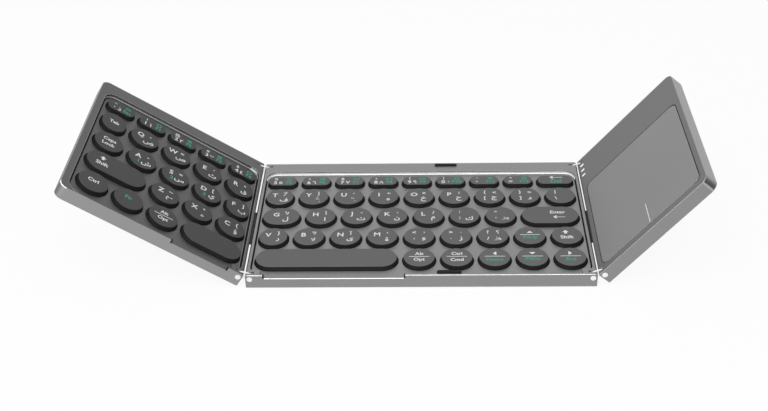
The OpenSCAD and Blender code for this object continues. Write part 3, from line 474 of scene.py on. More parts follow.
WELL_DEPTH = 1.6
WELL_R = 5.5
RIM = 1.7  # between a well and a hinge edge
FRONT_WALL = 1
REAR_BORDER = 7.4
PAD_D = 4.2  # depth of the hinge pads in a well's front corners
LEFT_BORDER = 3.2
NOTCH = (-66, -7)  # where the middle section's thumb notch starts and ends
LEFT_NOTCH = (-31.5, -6)
TICK = 0.6  # width of the painted shade at the ends of a thumb notch

TOUCHPAD_R = 3
TOUCHPAD_PLAY = 0.2
GROOVE_W = 0.12
GROOVE_SHADE_W = 0.3
CLICK_MARK = (0.6, 14)  # where the click mark starts and ends behind the touchpad's front edge
CLICK_MARK_W = 0.35

# Widths of the strips
LIP = 0.14
FINE_EDGE = 0.16
MIDDLE_EDGE = 0.2
OUTER_EDGE = 0.22
CORNER_GLINT = 0.3

# A well's strips, from its top edge down, or from its wall inwards
FOOT = 0.3  # width of the rounded foot of the wall
GLINT_DROP = 0.45
ARC_DROP = 0.5
ARC_CUT = 4  # points that the painted glint arc at the left well's corner leaves off
SHADE_W = 0.5
GLINT_W = 0.3
# A well's wall in painted shade, painted highlights at its foot and on the rear wall, and painted
# shade and a painted light line on its floor along the sides
WALL_SHADE = [(STAND_OFF, -LIP), (STAND_OFF, FOOT - WELL_DEPTH)]
WALL_FOOT = [(STAND_OFF, FOOT - WELL_DEPTH), (FOOT, STAND_OFF - WELL_DEPTH)]
WALL_GLINT = [(THICK, -GLINT_DROP), (THICK, FOOT - WELL_DEPTH)]
WALL_ARC = [(THICKEST, -ARC_DROP), (THICKEST, FOOT - WELL_DEPTH)]
FLOOR_SHADE = [(FOOT, THICK - WELL_DEPTH), (3 * FOOT, THICK - WELL_DEPTH)]
SIDE_SHADE = [(0, STAND_OFF - WELL_DEPTH), (SHADE_W, STAND_OFF - WELL_DEPTH)]
SIDE_GLINT = [(SHADE_W, STAND_OFF - WELL_DEPTH), (SHADE_W + GLINT_W, STAND_OFF - WELL_DEPTH)]

ARC_STEPS = 10
MITRE_LIMIT = 0.4  # keeps a sharp corner's mitre short
ROUNDING_ERROR = 0.1


def arc(x, y, r, first, turn):
    """Points of a quarter circle from a first angle, turning by +90 or -90 degrees."""
    return [
        (x + r * math.cos(math.radians(first + turn * i / ARC_STEPS)),
         y + r * math.sin(math.radians(first + turn * i / ARC_STEPS)))
        for i in range(ARC_STEPS + 1)
    ]


def path_normals(points, closed):
    """Directions to the right of a flat path's run, one for each point, mitred at its corners."""
    count = len(points)
    normals = []
    for i in range(count):
        after = points[(i + 1) % count] - points[i] if closed or i < count - 1 else None
        before = points[i] - points[i - 1] if closed or i > 0 else after
        sides = [
            Vector((step.y, -step.x, 0)).normalized() for step in (before, after or before)
        ]
        middle = sides[0] + sides[1]
        normals.append(middle / max(middle.dot(sides[0]), MITRE_LIMIT))
    return normals


def sweep(mesh, points, profile, root, closed):
    """Sweeps a profile along a flat path as a closed solid, which is rooted in the housing."""
    ring = profile + [(out + root[0], up + root[1]) for out, up in reversed(profile)]
    rows = [
        [
            mesh.verts.new((point + normal * out + Vector((0, 0, up))) * MM)
            for out, up in ring
        ]
        for point, normal in zip(points, path_normals(points, closed))
    ]
    following = rows[1:] + rows[:1] if closed else rows[1:]
    for row, other in zip(rows, following):
        for k in range(len(ring)):
            after = (k + 1) % len(ring)
            mesh.faces.new((row[k], other[k], other[after], row[after]))
        for k in range(len(ring)):
            rounded = 0 < k < len(profile) - 1
            mesh.edges.get((row[k], other[k])).smooth = rounded
    if not closed:
        for row in (rows[0], rows[-1]):
            for edge in mesh.faces.new(row).edges:
                edge.smooth = False


def strip_mesh(name, section, paths, profile, root, closed):
    """A profile swept along paths, which are (points, height) in a section's frame."""
    mesh = bmesh.new()
    for path, z in paths:
        sweep(mesh, [Vector((x, y, z)) for x, y in path], profile, root, closed)
    bmesh.ops.recalc_face_normals(mesh, faces=mesh.faces)
    mesh.transform(SECTIONS[section])
    for face in mesh.faces:
        face.smooth = True
    return finished(name, mesh)


def top_edge(width):
    """The profile of a strip round a top edge."""
    return [(-width, STAND_OFF), (STAND_OFF, STAND_OFF), (STAND_OFF, -width)]


def bottom_edge(width):
    """The profile of a strip round a bottom edge."""
    return [(STAND_OFF, width), (STAND_OFF, -STAND_OFF), (-width, -STAND_OFF)]


def well_path(x0, x1, left_pad):
    """A well's edge from the front left corner round the rear to the right hinge pad."""
    y0 = -HALF_D + FRONT_WALL
    y1 = HALF_D - REAR_BORDER
    start = [(x0, y0 + PAD_D)] if left_pad else arc(x0 + WELL_R, y0 + WELL_R, WELL_R, 270, -90)
    end = [(x1, y0 + PAD_D)]
    return (
        start + arc(x0 + WELL_R, y1 - WELL_R, WELL_R, 180, -90)
        + arc(x1 - WELL_R, y1 - WELL_R, WELL_R, 90, -90) + end
    )


def add_strips(body, section, name, paths, profile, material, root=EDGE_ROOT, closed=False):
    """One piece of strips, which rides on a body."""
    new_piece(name, strip_mesh(name, section, paths, profile, root, closed), body, [material])


def rear_part(path):
    """The stretch of a well's edge along the rear, with its rounded corners."""
    return [
        point for point in path if point[1] > HALF_D - REAR_BORDER - WELL_R - ROUNDING_ERROR
    ]


def add_well_edges(body, section, path, glint):
    """A well's lip in a lighter colour, painted shade on its wall, a painted highlight at its foot
    and on its rear wall, and painted shade and a painted light line on its floor along the sides.
    """
    rear = rear_part(path)
    whole = [(path, BODY_T)]
    rear_path = [(rear, BODY_T)]
    sides = [
        (path[:path.index(rear[0]) + 1], BODY_T), (path[path.index(rear[-1]):], BODY_T),
    ]
    name = section + "_well_"
    add_strips(body, section, name + "lip", whole, top_edge(LIP), soft_edge_painted_light)
    add_strips(body, section, name + "wall", whole, WALL_SHADE, painted_shade_dark, WALL_ROOT)
    add_strips(body, section, name + "foot", rear_path, WALL_FOOT, glint)
    add_strips(body, section, name + "glint", rear_path, WALL_GLINT, glint, WALL_ROOT)
    add_strips(body, section, name + "side_shade", sides, SIDE_SHADE, painted_shade_dark, FLAT_ROOT)
    add_strips(body, section, name + "side_glint", sides, SIDE_GLINT, soft_edge_painted_light, FLAT_ROOT)


def hinge_rounding(side):
    """Painted shade on the lower part of the rounded top edge beside a hinge."""
    r = HINGE_ROUND + STAND_OFF
    turns = [math.radians(angle) for angle in ROUNDING]
    return [
        (side * (r * math.sin(turn) - HINGE_ROUND), r * math.cos(turn) - HINGE_ROUND)
        for turn in turns
    ]


def add_hinge_edge(body, section, x, side):
    """Paints shade on a hinge edge between the seats of the links."""
    path = [([(x, HINGE_SPAN[0]), (x, HINGE_SPAN[1])], BODY_T)]
    name = section + ("_hinge_edge_right" if side > 0 else "_hinge_edge_left")
    root = (side * EDGE_ROOT[0], EDGE_ROOT[1])
    add_strips(body, section, name, path, hinge_rounding(side), painted_shade_dark, root)


def front_edge(x0, x1, notch):
    """The front wall's top edge, which lies lower along the thumb notch."""
    return [
        ([(x0, -HALF_D), (notch[0], -HALF_D)], BODY_T),
        ([(notch[0], -HALF_D), (notch[1], -HALF_D)], BODY_T - WELL_DEPTH),
        ([(notch[1], -HALF_D), (x1, -HALF_D)], BODY_T),
    ]


def add_notch_ends(body, section, notch):
    """Painted shade on the corners at both ends of a thumb notch in the front wall."""
    ends = [
        ([(notch[0] - TICK, -HALF_D), (notch[0], -HALF_D)], BODY_T),
        ([(notch[1], -HALF_D), (notch[1] + TICK, -HALF_D)], BODY_T),
    ]
    profile = [(-FRONT_WALL, THICK), (THICK, THICK), (THICK, -WELL_DEPTH)]
    add_strips(body, section, section + "_notch_ends", ends, profile, painted_shade_dark)


def add_middle_edges():
    """The strips of the middle section."""
    x = HALF_W - HINGE_ROUND
    well = well_path(RIM - HALF_W, HALF_W - RIM, True)
    add_well_edges("middle", "middle", well, painted_glint)
    front = front_edge(-x, x, NOTCH)
    add_strips("middle", "middle", "middle_front_edge", front[::2], top_edge(FINE_EDGE), cut_edge)
    add_strips(
        "middle", "middle", "middle_notch_edge", front[1:2], top_edge(OUTER_EDGE), cut_edge
    )
    add_notch_ends("middle", "middle", NOTCH)
    add_hinge_edge("middle", "middle", -HALF_W, -1)
    add_hinge_edge("middle", "middle", HALF_W, 1)
    rear = [([(x, HALF_D), (-x, HALF_D)], BODY_T)]
    add_strips("middle", "middle", "middle_rear_edge", rear, top_edge(MIDDLE_EDGE), soft_edge_painted_light)
    ends = [([(-x, -HALF_D), (x, -HALF_D)], 0), ([(x, HALF_D), (-x, HALF_D)], 0)]
    add_strips(
        "middle", "middle", "middle_bottom_edge", ends, bottom_edge(MIDDLE_EDGE), soft_edge_painted_light,
        UNDER_ROOT,
    )


def add_left_edges():
    """The strips of the left wing."""
    well = (LEFT_BORDER - LEFT_END, EDGE_X - RIM)
    path = well_path(*well, False)
    add_well_edges("left_wing", "left", path, soft_edge_painted_light)
    outer_wall = [point for point in path if point[0] < well[0] + WELL_R / 2]
    # Painted shade on the floor along the outer wall
    add_strips(
        "left_wing", "left", "left_floor_shade", [(outer_wall, BODY_T)], FLOOR_SHADE,
        painted_shade_dark, FLAT_ROOT,
    )
    # A painted glint arc round the well's rear corner beside the hinge
    inner_corner = [
        point for point in rear_part(path) if point[0] > well[1] - WELL_R
    ][:-ARC_CUT]
    add_strips(
        "left_wing", "left", "left_well_arc", [(inner_corner, BODY_T)], WALL_ARC, painted_glint,
        WALL_ROOT,
    )
    corner = arc(CORNER_R - LEFT_END, CORNER_R - HALF_D, CORNER_R, 180, 90)  # at the front
    # A painted glint on the front outer corner
    glint = [(-CORNER_GLINT, THICK), (THICK, THICK), (THICK, -CORNER_GLINT)]
    add_strips("left_wing", "left", "left_corner_glint", [(corner, BODY_T)], glint, painted_glint)
    hinge = EDGE_X - HINGE_ROUND
    outer = (
        [(hinge, HALF_D)] + arc(CORNER_R - LEFT_END, HALF_D - CORNER_R, CORNER_R, 90, 90)
        + corner
    )
    front = front_edge(CORNER_R - LEFT_END, hinge, LEFT_NOTCH)
    add_notch_ends("left_wing", "left", LEFT_NOTCH)
    add_hinge_edge("left_wing", "left", EDGE_X, 1)
    top = [(outer, BODY_T)] + front
    add_strips("left_wing", "left", "left_outer_edge", top, top_edge(OUTER_EDGE), soft_edge_painted_light)
    bottom = [(outer + [(hinge, -HALF_D)], 0)]
    add_strips(
        "left_wing", "left", "left_bottom_edge", bottom, bottom_edge(OUTER_EDGE), soft_edge_painted_light,
        UNDER_ROOT,
    )


def add_right_edges():
    """The strips of the right wing."""
    hinge = HINGE_ROUND - EDGE_X
    outer = (
        [(hinge, -HALF_D)] + arc(RIGHT_END - CORNER_R, CORNER_R - HALF_D, CORNER_R, 270, 90)
        + arc(RIGHT_END - CORNER_R, HALF_D - CORNER_R, CORNER_R, 0, 90) + [(hinge, HALF_D)]
    )
    add_strips(
        "right_wing", "right", "right_outer_edge", [(outer, BODY_T)], top_edge(OUTER_EDGE),
        soft_edge_painted_light,
    )
    add_strips(
        "right_wing", "right", "right_bottom_edge", [(outer, 0)], bottom_edge(OUTER_EDGE),
        soft_edge_painted_light, UNDER_ROOT,
    )
    add_hinge_edge("right_wing", "right", -EDGE_X, -1)


def add_touchpad_marks():
    """The touchpad's rounded top edge, painted shade in the groove around it and along its outer
    side, and its click mark.
    """
    low, high = [corner / MM for corner in local_box("touchpad_plate", "right")]
    r = TOUCHPAD_R
    edge = (
        arc(low.x + r, low.y + r, r, 180, 90) + arc(high.x - r, low.y + r, r, 270, 90)
        + arc(high.x - r, high.y - r, r, 0, 90) + arc(low.x + r, high.y - r, r, 90, 90)
    )
    groove = [(TOUCHPAD_PLAY, STAND_OFF), (TOUCHPAD_PLAY + GROOVE_W, STAND_OFF)]
    add_strips(
        "right_wing", "right", "touchpad_groove", [(edge, BODY_T)], groove, painted_shade_dark,
        FLAT_ROOT, True,
    )
    outer = arc(high.x - r, low.y + r, r, 270, 90) + arc(high.x - r, high.y - r, r, 0, 90)
    shade = [(TOUCHPAD_PLAY, THICK), (TOUCHPAD_PLAY + GROOVE_SHADE_W, THICK)]
    add_strips(
        "right_wing", "right", "touchpad_groove_outer", [(outer, BODY_T)], shade, painted_shade_dark,
        FLAT_ROOT,
    )
    add_strips(
        "touchpad", "right", "touchpad_edge", [(edge, high.z)], top_edge(FINE_EDGE), soft_edge_painted_light,
        EDGE_ROOT, True,
    )
    x = (low.x + high.x) / 2
    mark = [([(x, low.y + CLICK_MARK[1]), (x, low.y + CLICK_MARK[0])], high.z)]
    half = CLICK_MARK_W / 2
    profile = [(-half, STAND_OFF), (half, STAND_OFF)]
    add_strips("touchpad", "right", "click_mark", mark, profile, white_ink, FLAT_ROOT)


# ---- Flex cables, each in two halves ----
# Sizes are in millimetres here.

FLEX_W = 25.2
FLEX_Y = -4
FLEX_T = 0.3
FLEX_Z = 2.3
FLEX_HOLD = 1.6  # how much of it each section holds
FLEX_STEPS = 10
FLEX_CORNERS = ((-1, 1), (1, 1), (1, -1), (-1, -1))  # across the cable and up


def flex_points(side, section):
    """The cable's middle line from inside the middle section to inside a wing, in metres."""
    wing = SECTIONS[section]
    edge = EDGE_X if section == "left" else -EDGE_X
    inner = edge - FLEX_HOLD if section == "left" else edge + FLEX_HOLD
    leave = Vector((side * HALF_W, 0, FLEX_Z)) * MM
    hold = Vector((side * (HALF_W - FLEX_HOLD), 0, FLEX_Z)) * MM
    arrive = wing @ (Vector((edge, 0, FLEX_Z)) * MM)
    far = wing @ (Vector((inner, 0, FLEX_Z)) * MM)
    return hold, leave, arrive, far


def flex_half(name, points):
    """A flat cable along points of its middle line."""
    mesh = bmesh.new()
    rows = []
    for i, point in enumerate(points):
        step = points[min(i + 1, len(points) - 1)] - points[max(i - 1, 0)]
        up = Vector((-step.z, 0, step.x)).normalized() * FLEX_T * MM / 2
        rows.append([
            mesh.verts.new(point + up * lift + Vector((0, (FLEX_Y + across * FLEX_W / 2) * MM, 0)))
            for across, lift in FLEX_CORNERS
        ])
    for row, other in zip(rows, rows[1:]):
        for k in range(len(FLEX_CORNERS)):
            after = (k + 1) % len(FLEX_CORNERS)
            mesh.faces.new((row[k], other[k], other[after], row[after]))
    for row in (rows[0], rows[-1]):
        mesh.faces.new(row)
    bmesh.ops.recalc_face_normals(mesh, faces=mesh.faces)
    return finished(name, mesh)


def add_flex(section, side, links, wing):
    """A cable as two pieces, from the middle section to its links to a wing."""
    hold, leave, arrive, far = flex_points(side, section)
    middle = (leave + arrive) / 2
    node = section + "_flex_cable"
    halves = {
        "inner": ([hold, leave], leave, middle, "middle", links),
        "outer": ([arrive, far], middle, arrive, links, wing),
    }
    for half, (held, start, end, body_a, body_b) in halves.items():
        free = [start.lerp(end, i / FLEX_STEPS) for i in range(FLEX_STEPS + 1)]
        points = [held[0]] + free if half == "inner" else free + [held[1]]
        name = f"{section}_flex_{half}"
        piece = link(bpy.data.objects.new(name, flex_half(name, points)))
        piece.data.materials.append(flex_film)
        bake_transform(piece)
        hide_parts(node)


# ---- Key caps ----

CAP_POINTS = 18  # points in each quarter of a key's outline
KEY_WALL = 0.9 * MM
ROOF_INSET = 1.3 * MM  # how far the hollow's roof is drawn in
NUMBER_KEY_R = 3.2 * MM
NUMBER_KEY_D = 10 * MM  # a key that is deeper has round ends
SMALLEST_R = 0.3 * MM
CAP_SHARP = 50  # degrees; edges of a cap that turn by more stay sharp
# A cap's outer profile above its lower rim, in millimetres, as (drawn in, below the top)
CAP_PROFILE = [
    (0.0, 2.0), (0.06, 1.9), (0.50, 0.30), (0.55, 0.16), (0.64, 0.06), (0.78, 0.01), (0.95, 0.0),
]
SIDE_RINGS = 4  # how many of its rings are the cap's side, in painted shade
TOP_SLOT, SIDE_SLOT = 0, 1


def outline(w, d, r, drawn_in):
    """Points of a rounded rectangle, drawn in by an amount, as (x, y)."""
    w = w - 2 * drawn_in
    d = d - 2 * drawn_in
    r = min(max(r - drawn_in, SMALLEST_R), w / 2, d / 2)
    points = []
    for corner, (sx, sy) in enumerate([(1, 1), (-1, 1), (-1, -1), (1, -1)]):
        centre = (sx * (w / 2 - r), sy * (d / 2 - r))
        for step in range(CAP_POINTS + 1):
            angle = math.pi / 2 * (corner + step / CAP_POINTS)
            points.append((
                centre[0] + r * math.cos(angle), centre[1] + r * math.sin(angle)
            ))
    return points


def add_loop(mesh, centre, w, d, r, drawn_in, z):
    """A ring of points of a key's outline at a height."""
    return [
        mesh.verts.new((centre.x + x, centre.y + y, z))
        for x, y in outline(w, d, r, drawn_in)
    ]


def bridge(mesh, low, high, material):
    """Faces between two rings of points."""
    count = len(low)
    for i in range(count):
        j = (i + 1) % count
        face = mesh.faces.new((low[i], low[j], high[j], high[i]))
        face.material_index = material


def add_cap(mesh, low, high):
    """One hollow key cap in a section's frame, from the box of its CAD solid."""
    centre = (low + high) / 2
    w = high.x - low.x
    d = high.y - low.y
    r = d / 2 if d > NUMBER_KEY_D else NUMBER_KEY_R
    rings = [(0.0, low.z)]
    rings += [(inset * MM, high.z - drop * MM) for inset, drop in CAP_PROFILE]
    loops = [add_loop(mesh, centre, w, d, r, inset, z) for inset, z in rings]
    # The side's rings, up into the top's rounding, take the painted shade; the top takes the
    # painted sheen
    for i in range(len(loops) - 1):
        bridge(mesh, loops[i], loops[i + 1], SIDE_SLOT if i < SIDE_RINGS else TOP_SLOT)
    mesh.faces.new(loops[-1]).material_index = TOP_SLOT
    rim = add_loop(mesh, centre, w, d, r, KEY_WALL, low.z)
    roof = add_loop(mesh, centre, w, d, r, ROOF_INSET, high.z - KEY_WALL)
    bridge(mesh, rim, loops[0], SIDE_SLOT)
    bridge(mesh, roof, rim, SIDE_SLOT)
    mesh.faces.new(list(reversed(roof))).material_index = SIDE_SLOT


KEY_NODES = {
    "middle": [
        "mid_number_keys", "backspace_key", "mid_upper_keys", "mid_home_keys", "enter_key",
        "mid_lower_keys", "right_shift_key", "right_space_key", "right_modifier_keys",
        "arrow_keys",
    ],
    "left": [
        "left_number_keys", "tab_key", "left_upper_keys", "caps_lock_key", "left_home_keys",
        "left_shift_key", "left_lower_keys", "left_space_key", "left_modifier_keys",
    ],
}


def add_keys():
    """A piece of hollow caps for each key node."""
    tops = {"middle": key_top, "left": left_key_top}
    for section, nodes in KEY_NODES.items():
        for node in nodes:
            mesh = bmesh.new()
            for low, high in solids(node, section):
                add_cap(mesh, low, high)
            mesh.transform(SECTIONS[section])
            data = finished(node + "_caps", mesh)
            data.shade_smooth()
            data.set_sharp_from_angle(angle=math.radians(CAP_SHARP))
            new_piece(
                node + "_caps", data, node + "_body", [tops[section], key_side_painted_shade], [node],
            )


# ---- Legends: plain letters, digits, key names and arrows, in a key's own millimetres ----

INK_RISE = 0.012 * MM  # how far a legend stands out of its key
WORD_WEIGHT = 0.02  # how much bolder words are drawn, as a share of their size
TRIANGLE = 2.3
LINE_W = 0.34
STEM_W = 1.2
RING_W = 0.45
SECTOR = 45  # degrees
RAY_GAP = 18  # degrees
text_shapes = {}


def word(text, x, y, size, ink_name="white"):
    return ("word", text, x, y, size, ink_name)


def line(x, y, length):
    return ("line", 0, x, y, length, "white")


def triangle(x, y, quarter_turns):
    return ("triangle", quarter_turns, x, y, TRIANGLE, "white")


def letter(main, second, third, channel=""):
    """A letter, the second alphabet's letter and sign, and a channel number if there is one."""
    marks = [
        word(main, -2.3, 1.2, 4.0), word(second, 2.0, -2.6, 3.9), word(third, 2.2, 2.3, 3.2),
    ]
    if channel:
        marks.append(word(channel, -1.6, -2.6, 3.2, "teal"))
    return marks


def pair(upper, lower, second="", third=""):
    """Two signs above each other, and the second alphabet's letter and sign."""
    return [
        word(upper, -2.2, 2.6, 3.2), word(lower, -2.2, -2.3, 3.2),
        word(second, 2.0, -2.5, 3.9), word(third, 2.2, 2.5, 3.2),
    ]


def number(sign, digit, second, action, symbol):
    """A number key, with its function number and sign in green."""
    return [
        word(sign, -3.2, 1.7, 2.5), word(digit, -3.4, -1.4, 3.4),
        word(second, -0.9, -1.4, 3.4), word(action, 2.9, -1.3, 2.9, "teal"),
        (symbol, 0, 2.9, 1.5, 2.6, "teal"),
    ]


def split(upper, lower):
    """Two key names with a line between them."""
    return [word(upper, 0, 2.5, 2.9), line(0, 0.4, 8.6), word(lower, 0, -1.9, 2.9)]


def arrow(quarter_turns, action):
    """An arrow over a line and a green key name."""
    return [
        triangle(0, 2.5, quarter_turns), line(0, 0.4, 8.6), word(action, 0, -1.8, 2.9, "teal"),
    ]


def shift(x):
    """The word and arrow of a Shift key."""
    return [
        triangle(x - 0.3, 3.0, 0), ("stem", 0, x - 0.3, 1.7, 1.2, "white"),
        word("Shift", x, -1.5, 3.2),
    ]


LEGENDS = {
    "left_number_keys": [
        number("~", "`", "ذ", "Esc", "bar"), number("!", "1", "١", "F1", "ring"),
        number("@", "2", "٢", "F2", "sun"), number("#", "3", "٣", "F3", "grid"),
        number("$", "4", "٤", "F4", "ring"),
    ],
    "mid_number_keys": [
        number("%", "5", "٥", "F5", "bar"), number("^", "6", "٦", "F6", "grid"),
        number("&", "7", "٧", "F7", "back"), number("*", "8", "٨", "F8", "play"),
        number("(", "9", "٩", "F9", "next"), number(")", "0", "٠", "F10", "ring"),
        number("_", "-", "", "F11", "sun"), number("+", "=", "", "F12", "grid"),
    ],
    "backspace_key": [[
        line(1.2, 1.8, 5.0), triangle(-1.6, 1.8, 1), word("Del", 0.4, -1.4, 3.8, "teal"),
    ]],
    "tab_key": [[word("Tab", -0.1, 0.2, 3.0)]],
    "left_upper_keys": [
        letter("Q", "ض", "-"), letter("W", "ص", "="), letter("E", "ث", "'"), letter("R", "ق", '"'),
    ],
    "mid_upper_keys": [
        letter("T", "ف", "ﻹ"), letter("Y", "غ", "إ"), letter("U", "ع", "'"), letter("I", "ه", "÷"),
        letter("O", "خ", "×"), letter("P", "ح", "؛"), pair("{", "[", "ج", "<"),
        pair("}", "]", "د", ">"), pair("|", "\\"),
    ],
    "caps_lock_key": [[word("Caps", 0, 1.4, 3.0), word("Lock", 0, -1.8, 3.0)]],
    "left_home_keys": [
        letter("A", "ش", "-", "1"), letter("S", "س", "=", "2"), letter("D", "ي", "[", "3"),
        letter("F", "ب", "]"),
    ],
    "mid_home_keys": [
        letter("G", "ل", "ﻷ"), letter("H", "ا", "أ"), letter("J", "ت", "-"), letter("K", "ن", "،"),
        letter("L", "م", "/"), pair(":", ";", "ك"), pair('"', "'", "ط"),
    ],
    "enter_key": [[word("Enter", 3.4, 2.0, 3.1), line(4.4, -1.9, 4.2), triangle(1.9, -1.9, 1)]],
    "left_shift_key": [shift(-6.5)],
    "left_lower_keys": [letter("Z", "ئ", "~"), letter("X", "ء", "°"), letter("C", "ؤ", "{")],
    "mid_lower_keys": [
        letter("V", "ر", "}"), letter("B", "ﻻ", "ﻵ"), letter("N", "ى", "آ"), letter("M", "ة", "'"),
        pair("<", ",", "و", ","), pair(">", ".", "ز", "."), pair("?", "/", "ظ", "؟"),
    ],
    "right_shift_key": [shift(-0.2)],
    "arrow_keys": [arrow(0, "PgUp"), arrow(1, "Home"), arrow(2, "PgDn"), arrow(3, "End")],
    "left_modifier_keys": [
        [word("Ctrl", -0.2, 0.6, 3.0)], [word("Fn", -0.4, 0.9, 3.2, "teal")], split("Alt", "Opt"),
    ],
    "right_modifier_keys": [split("Alt", "Opt"), split("Ctrl", "Cmd")],
}


def text_shape(text, size):
    """A text's points and faces, with its middle at the origin."""
    if (text, size) not in text_shapes:
        curve = bpy.data.curves.new("legend_text", "FONT")
        curve.body = text
        curve.size = size * MM
        curve.offset = WORD_WEIGHT * size * MM
        curve.resolution_u = 3
        curve.fill_mode = "FRONT"
        source = bpy.data.objects.new("legend_text", curve)
        bpy.context.scene.collection.objects.link(source)
        graph = bpy.context.evaluated_depsgraph_get()
        data = bpy.data.meshes.new_from_object(source.evaluated_get(graph))
        points = [vertex.co.copy() for vertex in data.vertices]
        faces = [tuple(face.vertices) for face in data.polygons]
        bpy.data.objects.remove(source)
        bpy.data.meshes.remove(data)
        middle = Vector([
            (min(point[i] for point in points) + max(point[i] for point in points)) / 2
            for i in range(2)
        ] + [0])
        text_shapes[(text, size)] = ([point - middle for point in points], faces)
    return text_shapes[(text, size)]


def block(x, y, w, h):
    """A rectangle around a point."""
    left, right, low, high = x - w / 2, x + w / 2, y - h / 2, y + h / 2
    return [(left, low), (right, low), (right, high), (left, high)]


def wedge(x, size, side):
    """A triangle that points along x."""
    back = x - side * size / 2
    return [(back, -size / 2), (x + side * size / 2, 0), (back, size / 2)][::side]


def ring_sectors(r, thick, gap):
    """A ring in sectors, with a gap between them in degrees."""
    sectors = []
    for first in range(0, 360, SECTOR):
        a = math.radians(first)
        b = math.radians(first + SECTOR - gap)
        sectors.append([
            (radius * math.cos(angle), radius * math.sin(angle))
            for radius, angle in ((r - thick, a), (r, a), (r, b), (r - thick, b))
        ])
    return sectors


def flat_shape(kind, turns, size):
    """Outlines of a line, arrow part or plain function sign, with its middle at the origin."""
    half = size / 2
    outlines = {
        "line": [block(0, 0, size, LINE_W)],
        "stem": [block(0, 0, size, STEM_W)],
        "triangle": [[(-size * 0.62, -size / 3), (size * 0.62, -size / 3), (0, size / 3)]],
        "bar": [block(0, -0.5, size, 0.4), block(0, 0.5, size, 0.4)],
        "grid": [block(x, y, 0.9, 0.9) for x in (-0.6, 0.6) for y in (-0.6, 0.6)],
        "ring": ring_sectors(half, RING_W, 0),
        "sun": ring_sectors(half, RING_W, RAY_GAP) + ring_sectors(half / 2, half / 2, 0),
        "play": [wedge(-0.6, 1.9, 1), block(0.9, 0, 0.5, 1.9)],
        "back": [wedge(-0.8, 1.6, -1), wedge(0.8, 1.6, -1)],
        "next": [wedge(-0.8, 1.6, 1), wedge(0.8, 1.6, 1)],
    }[kind]
    angle = math.pi / 2 * turns
    points = []
    faces = []
    for shape in outlines:
        faces.append(tuple(range(len(points), len(points) + len(shape))))
        points += [
            Vector((
                x * math.cos(angle) - y * math.sin(angle),
                x * math.sin(angle) + y * math.cos(angle), 0
            )) * MM
            for x, y in shape
        ]
    return points, faces


def add_mark(mesh, place, mark):
    """Adds a word or a flat shape at its place on a key."""
    kind, what, x, y, size, _ = mark
    if kind == "word":
        points, faces = text_shape(what, size)
    else:
        points, faces = flat_shape(kind, what, size)
    offset = place + Vector((x * MM, y * MM, INK_RISE))
    made = [mesh.verts.new(point + offset) for point in points]
    for face in faces:
        mesh.faces.new([made[i] for i in face])


def add_legends():
    """Each key node's legends, one piece for each ink."""
    for section, nodes in KEY_NODES.items():
        for node in nodes:
            if node not in LEGENDS:
                continue
            keys = solids(node, section)
            for ink_name, material in (("white", white_ink), ("teal", teal_ink)):
                mesh = bmesh.new()
                for (low, high), marks in zip(keys, LEGENDS[node]):
                    place = Vector(((low.x + high.x) / 2, (low.y + high.y) / 2, high.z))
                    for mark in marks:
                        if mark[-1] == ink_name and mark[:2] != ("word", ""):
                            add_mark(mesh, place, mark)
                if not mesh.faces:
                    mesh.free()
                    continue
                mesh.transform(SECTIONS[section])
                name = f"{node}_{ink_name}_ink"
                new_piece(name, finished(name, mesh), node + "_body", [material])


# ---- Studio ----

FLOOR_SIZE = 6
FLOOR_GLOW = 0.93  # how much of the floor's look is plain white, for the camera and mirrors
AMBIENT = 0.4  # strength of the world's light on the object
LAMPS = {  # place, aim, size, power in watts
    "top_light": ((-0.1, -0.5, 1.0), (0, 0, 0), (0.9, 0.6), 7),
    "left_light": ((-0.85, -0.35, 0.8), (0, 0, 0), (0.5, 0.5), 0.8),
    "front_light": ((-0.6, -1.1, 0.3), (-0.05, 0, 0), (0.8, 0.5), 3),
}


def seen_directly(nodes, links):
    """An output that is 1 where the camera, a mirror or glass shows the background."""
    path = nodes.new("ShaderNodeLightPath")
    total = path.outputs["Is Camera Ray"]
    for ray in ("Is Glossy Ray", "Is Transmission Ray"):
        highest = nodes.new("ShaderNodeMath")
        highest.operation = "MAXIMUM"
        links.new(total, highest.inputs[0])
        links.new(path.outputs[ray], highest.inputs[1])
        total = highest.outputs["Value"]
    return total


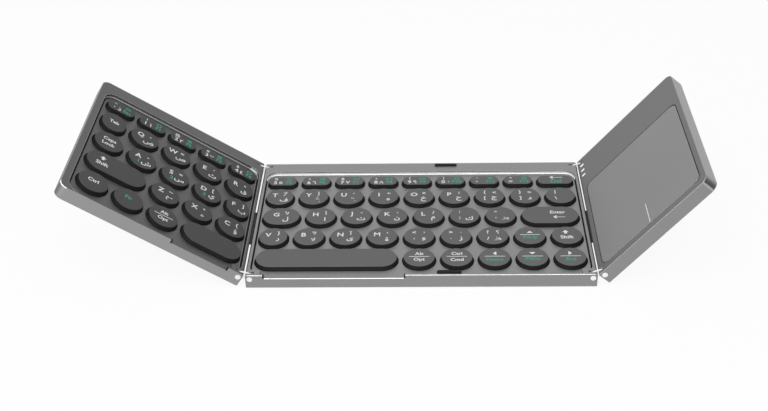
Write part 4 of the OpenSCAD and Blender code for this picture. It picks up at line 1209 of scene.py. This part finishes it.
def add_floor():
    """A pale floor that keeps shadows and shows as nearly white."""
    mesh = bmesh.new()
    bmesh.ops.create_grid(mesh, x_segments=1, y_segments=1, size=FLOOR_SIZE)
    floor = link(bpy.data.objects.new("floor", finished("floor", mesh)))
    floor.location.z = FLOOR_Z
    material, nodes, links, shader = new_material("floor_white", (0.9, 0.9, 0.9), 0, 0.9)
    shader.inputs["Specular IOR Level"].default_value = 0.1
    glow = nodes.new("ShaderNodeEmission")
    glow.inputs["Color"].default_value = (1, 1, 1, 1)
    share = nodes.new("ShaderNodeMath")
    share.operation = "MULTIPLY"
    share.inputs[1].default_value = FLOOR_GLOW
    links.new(seen_directly(nodes, links), share.inputs[0])
    mix = nodes.new("ShaderNodeMixShader")
    links.new(share.outputs["Value"], mix.inputs["Fac"])
    links.new(shader.outputs["BSDF"], mix.inputs[1])
    links.new(glow.outputs["Emission"], mix.inputs[2])
    links.new(mix.outputs["Shader"], nodes["Material Output"].inputs["Surface"])
    floor.data.materials.append(material)


def add_world():
    """A soft white sky, plain white where it is seen directly."""
    world = bpy.data.worlds.new("studio")
    bpy.context.scene.world = world
    world.use_nodes = True
    nodes = world.node_tree.nodes
    links = world.node_tree.links
    shader = nodes["Background"]
    shader.inputs["Color"].default_value = (1, 1, 1, 1)
    strength = nodes.new("ShaderNodeMapRange")
    strength.inputs["To Min"].default_value = AMBIENT
    strength.inputs["To Max"].default_value = 1
    links.new(seen_directly(nodes, links), strength.inputs["Value"])
    links.new(strength.outputs["Result"], shader.inputs["Strength"])


def add_lamp(name, place, aim, size, power):
    """An area lamp that looks at a point."""
    data = bpy.data.lights.new(name, "AREA")
    data.shape = "RECTANGLE"
    data.size, data.size_y = size
    data.energy = power
    lamp = link(bpy.data.objects.new(name, data))
    lamp.location = place
    lamp.rotation_euler = (Vector(aim) - Vector(place)).to_track_quat("-Z", "Y").to_euler()


add_camera()
add_world()
add_floor()
for lamp_name, lamp_values in LAMPS.items():
    add_lamp(lamp_name, *lamp_values)

paint_frame()
add_soft_rubber()
add_middle_edges()
add_left_edges()
add_right_edges()
add_touchpad_marks()
add_flex("left", -1, "left_links", "left_wing")
add_flex("right", 1, "right_links", "right_wing")
add_keys()
add_legends()

bpy.context.scene.view_settings.view_transform = "Standard"
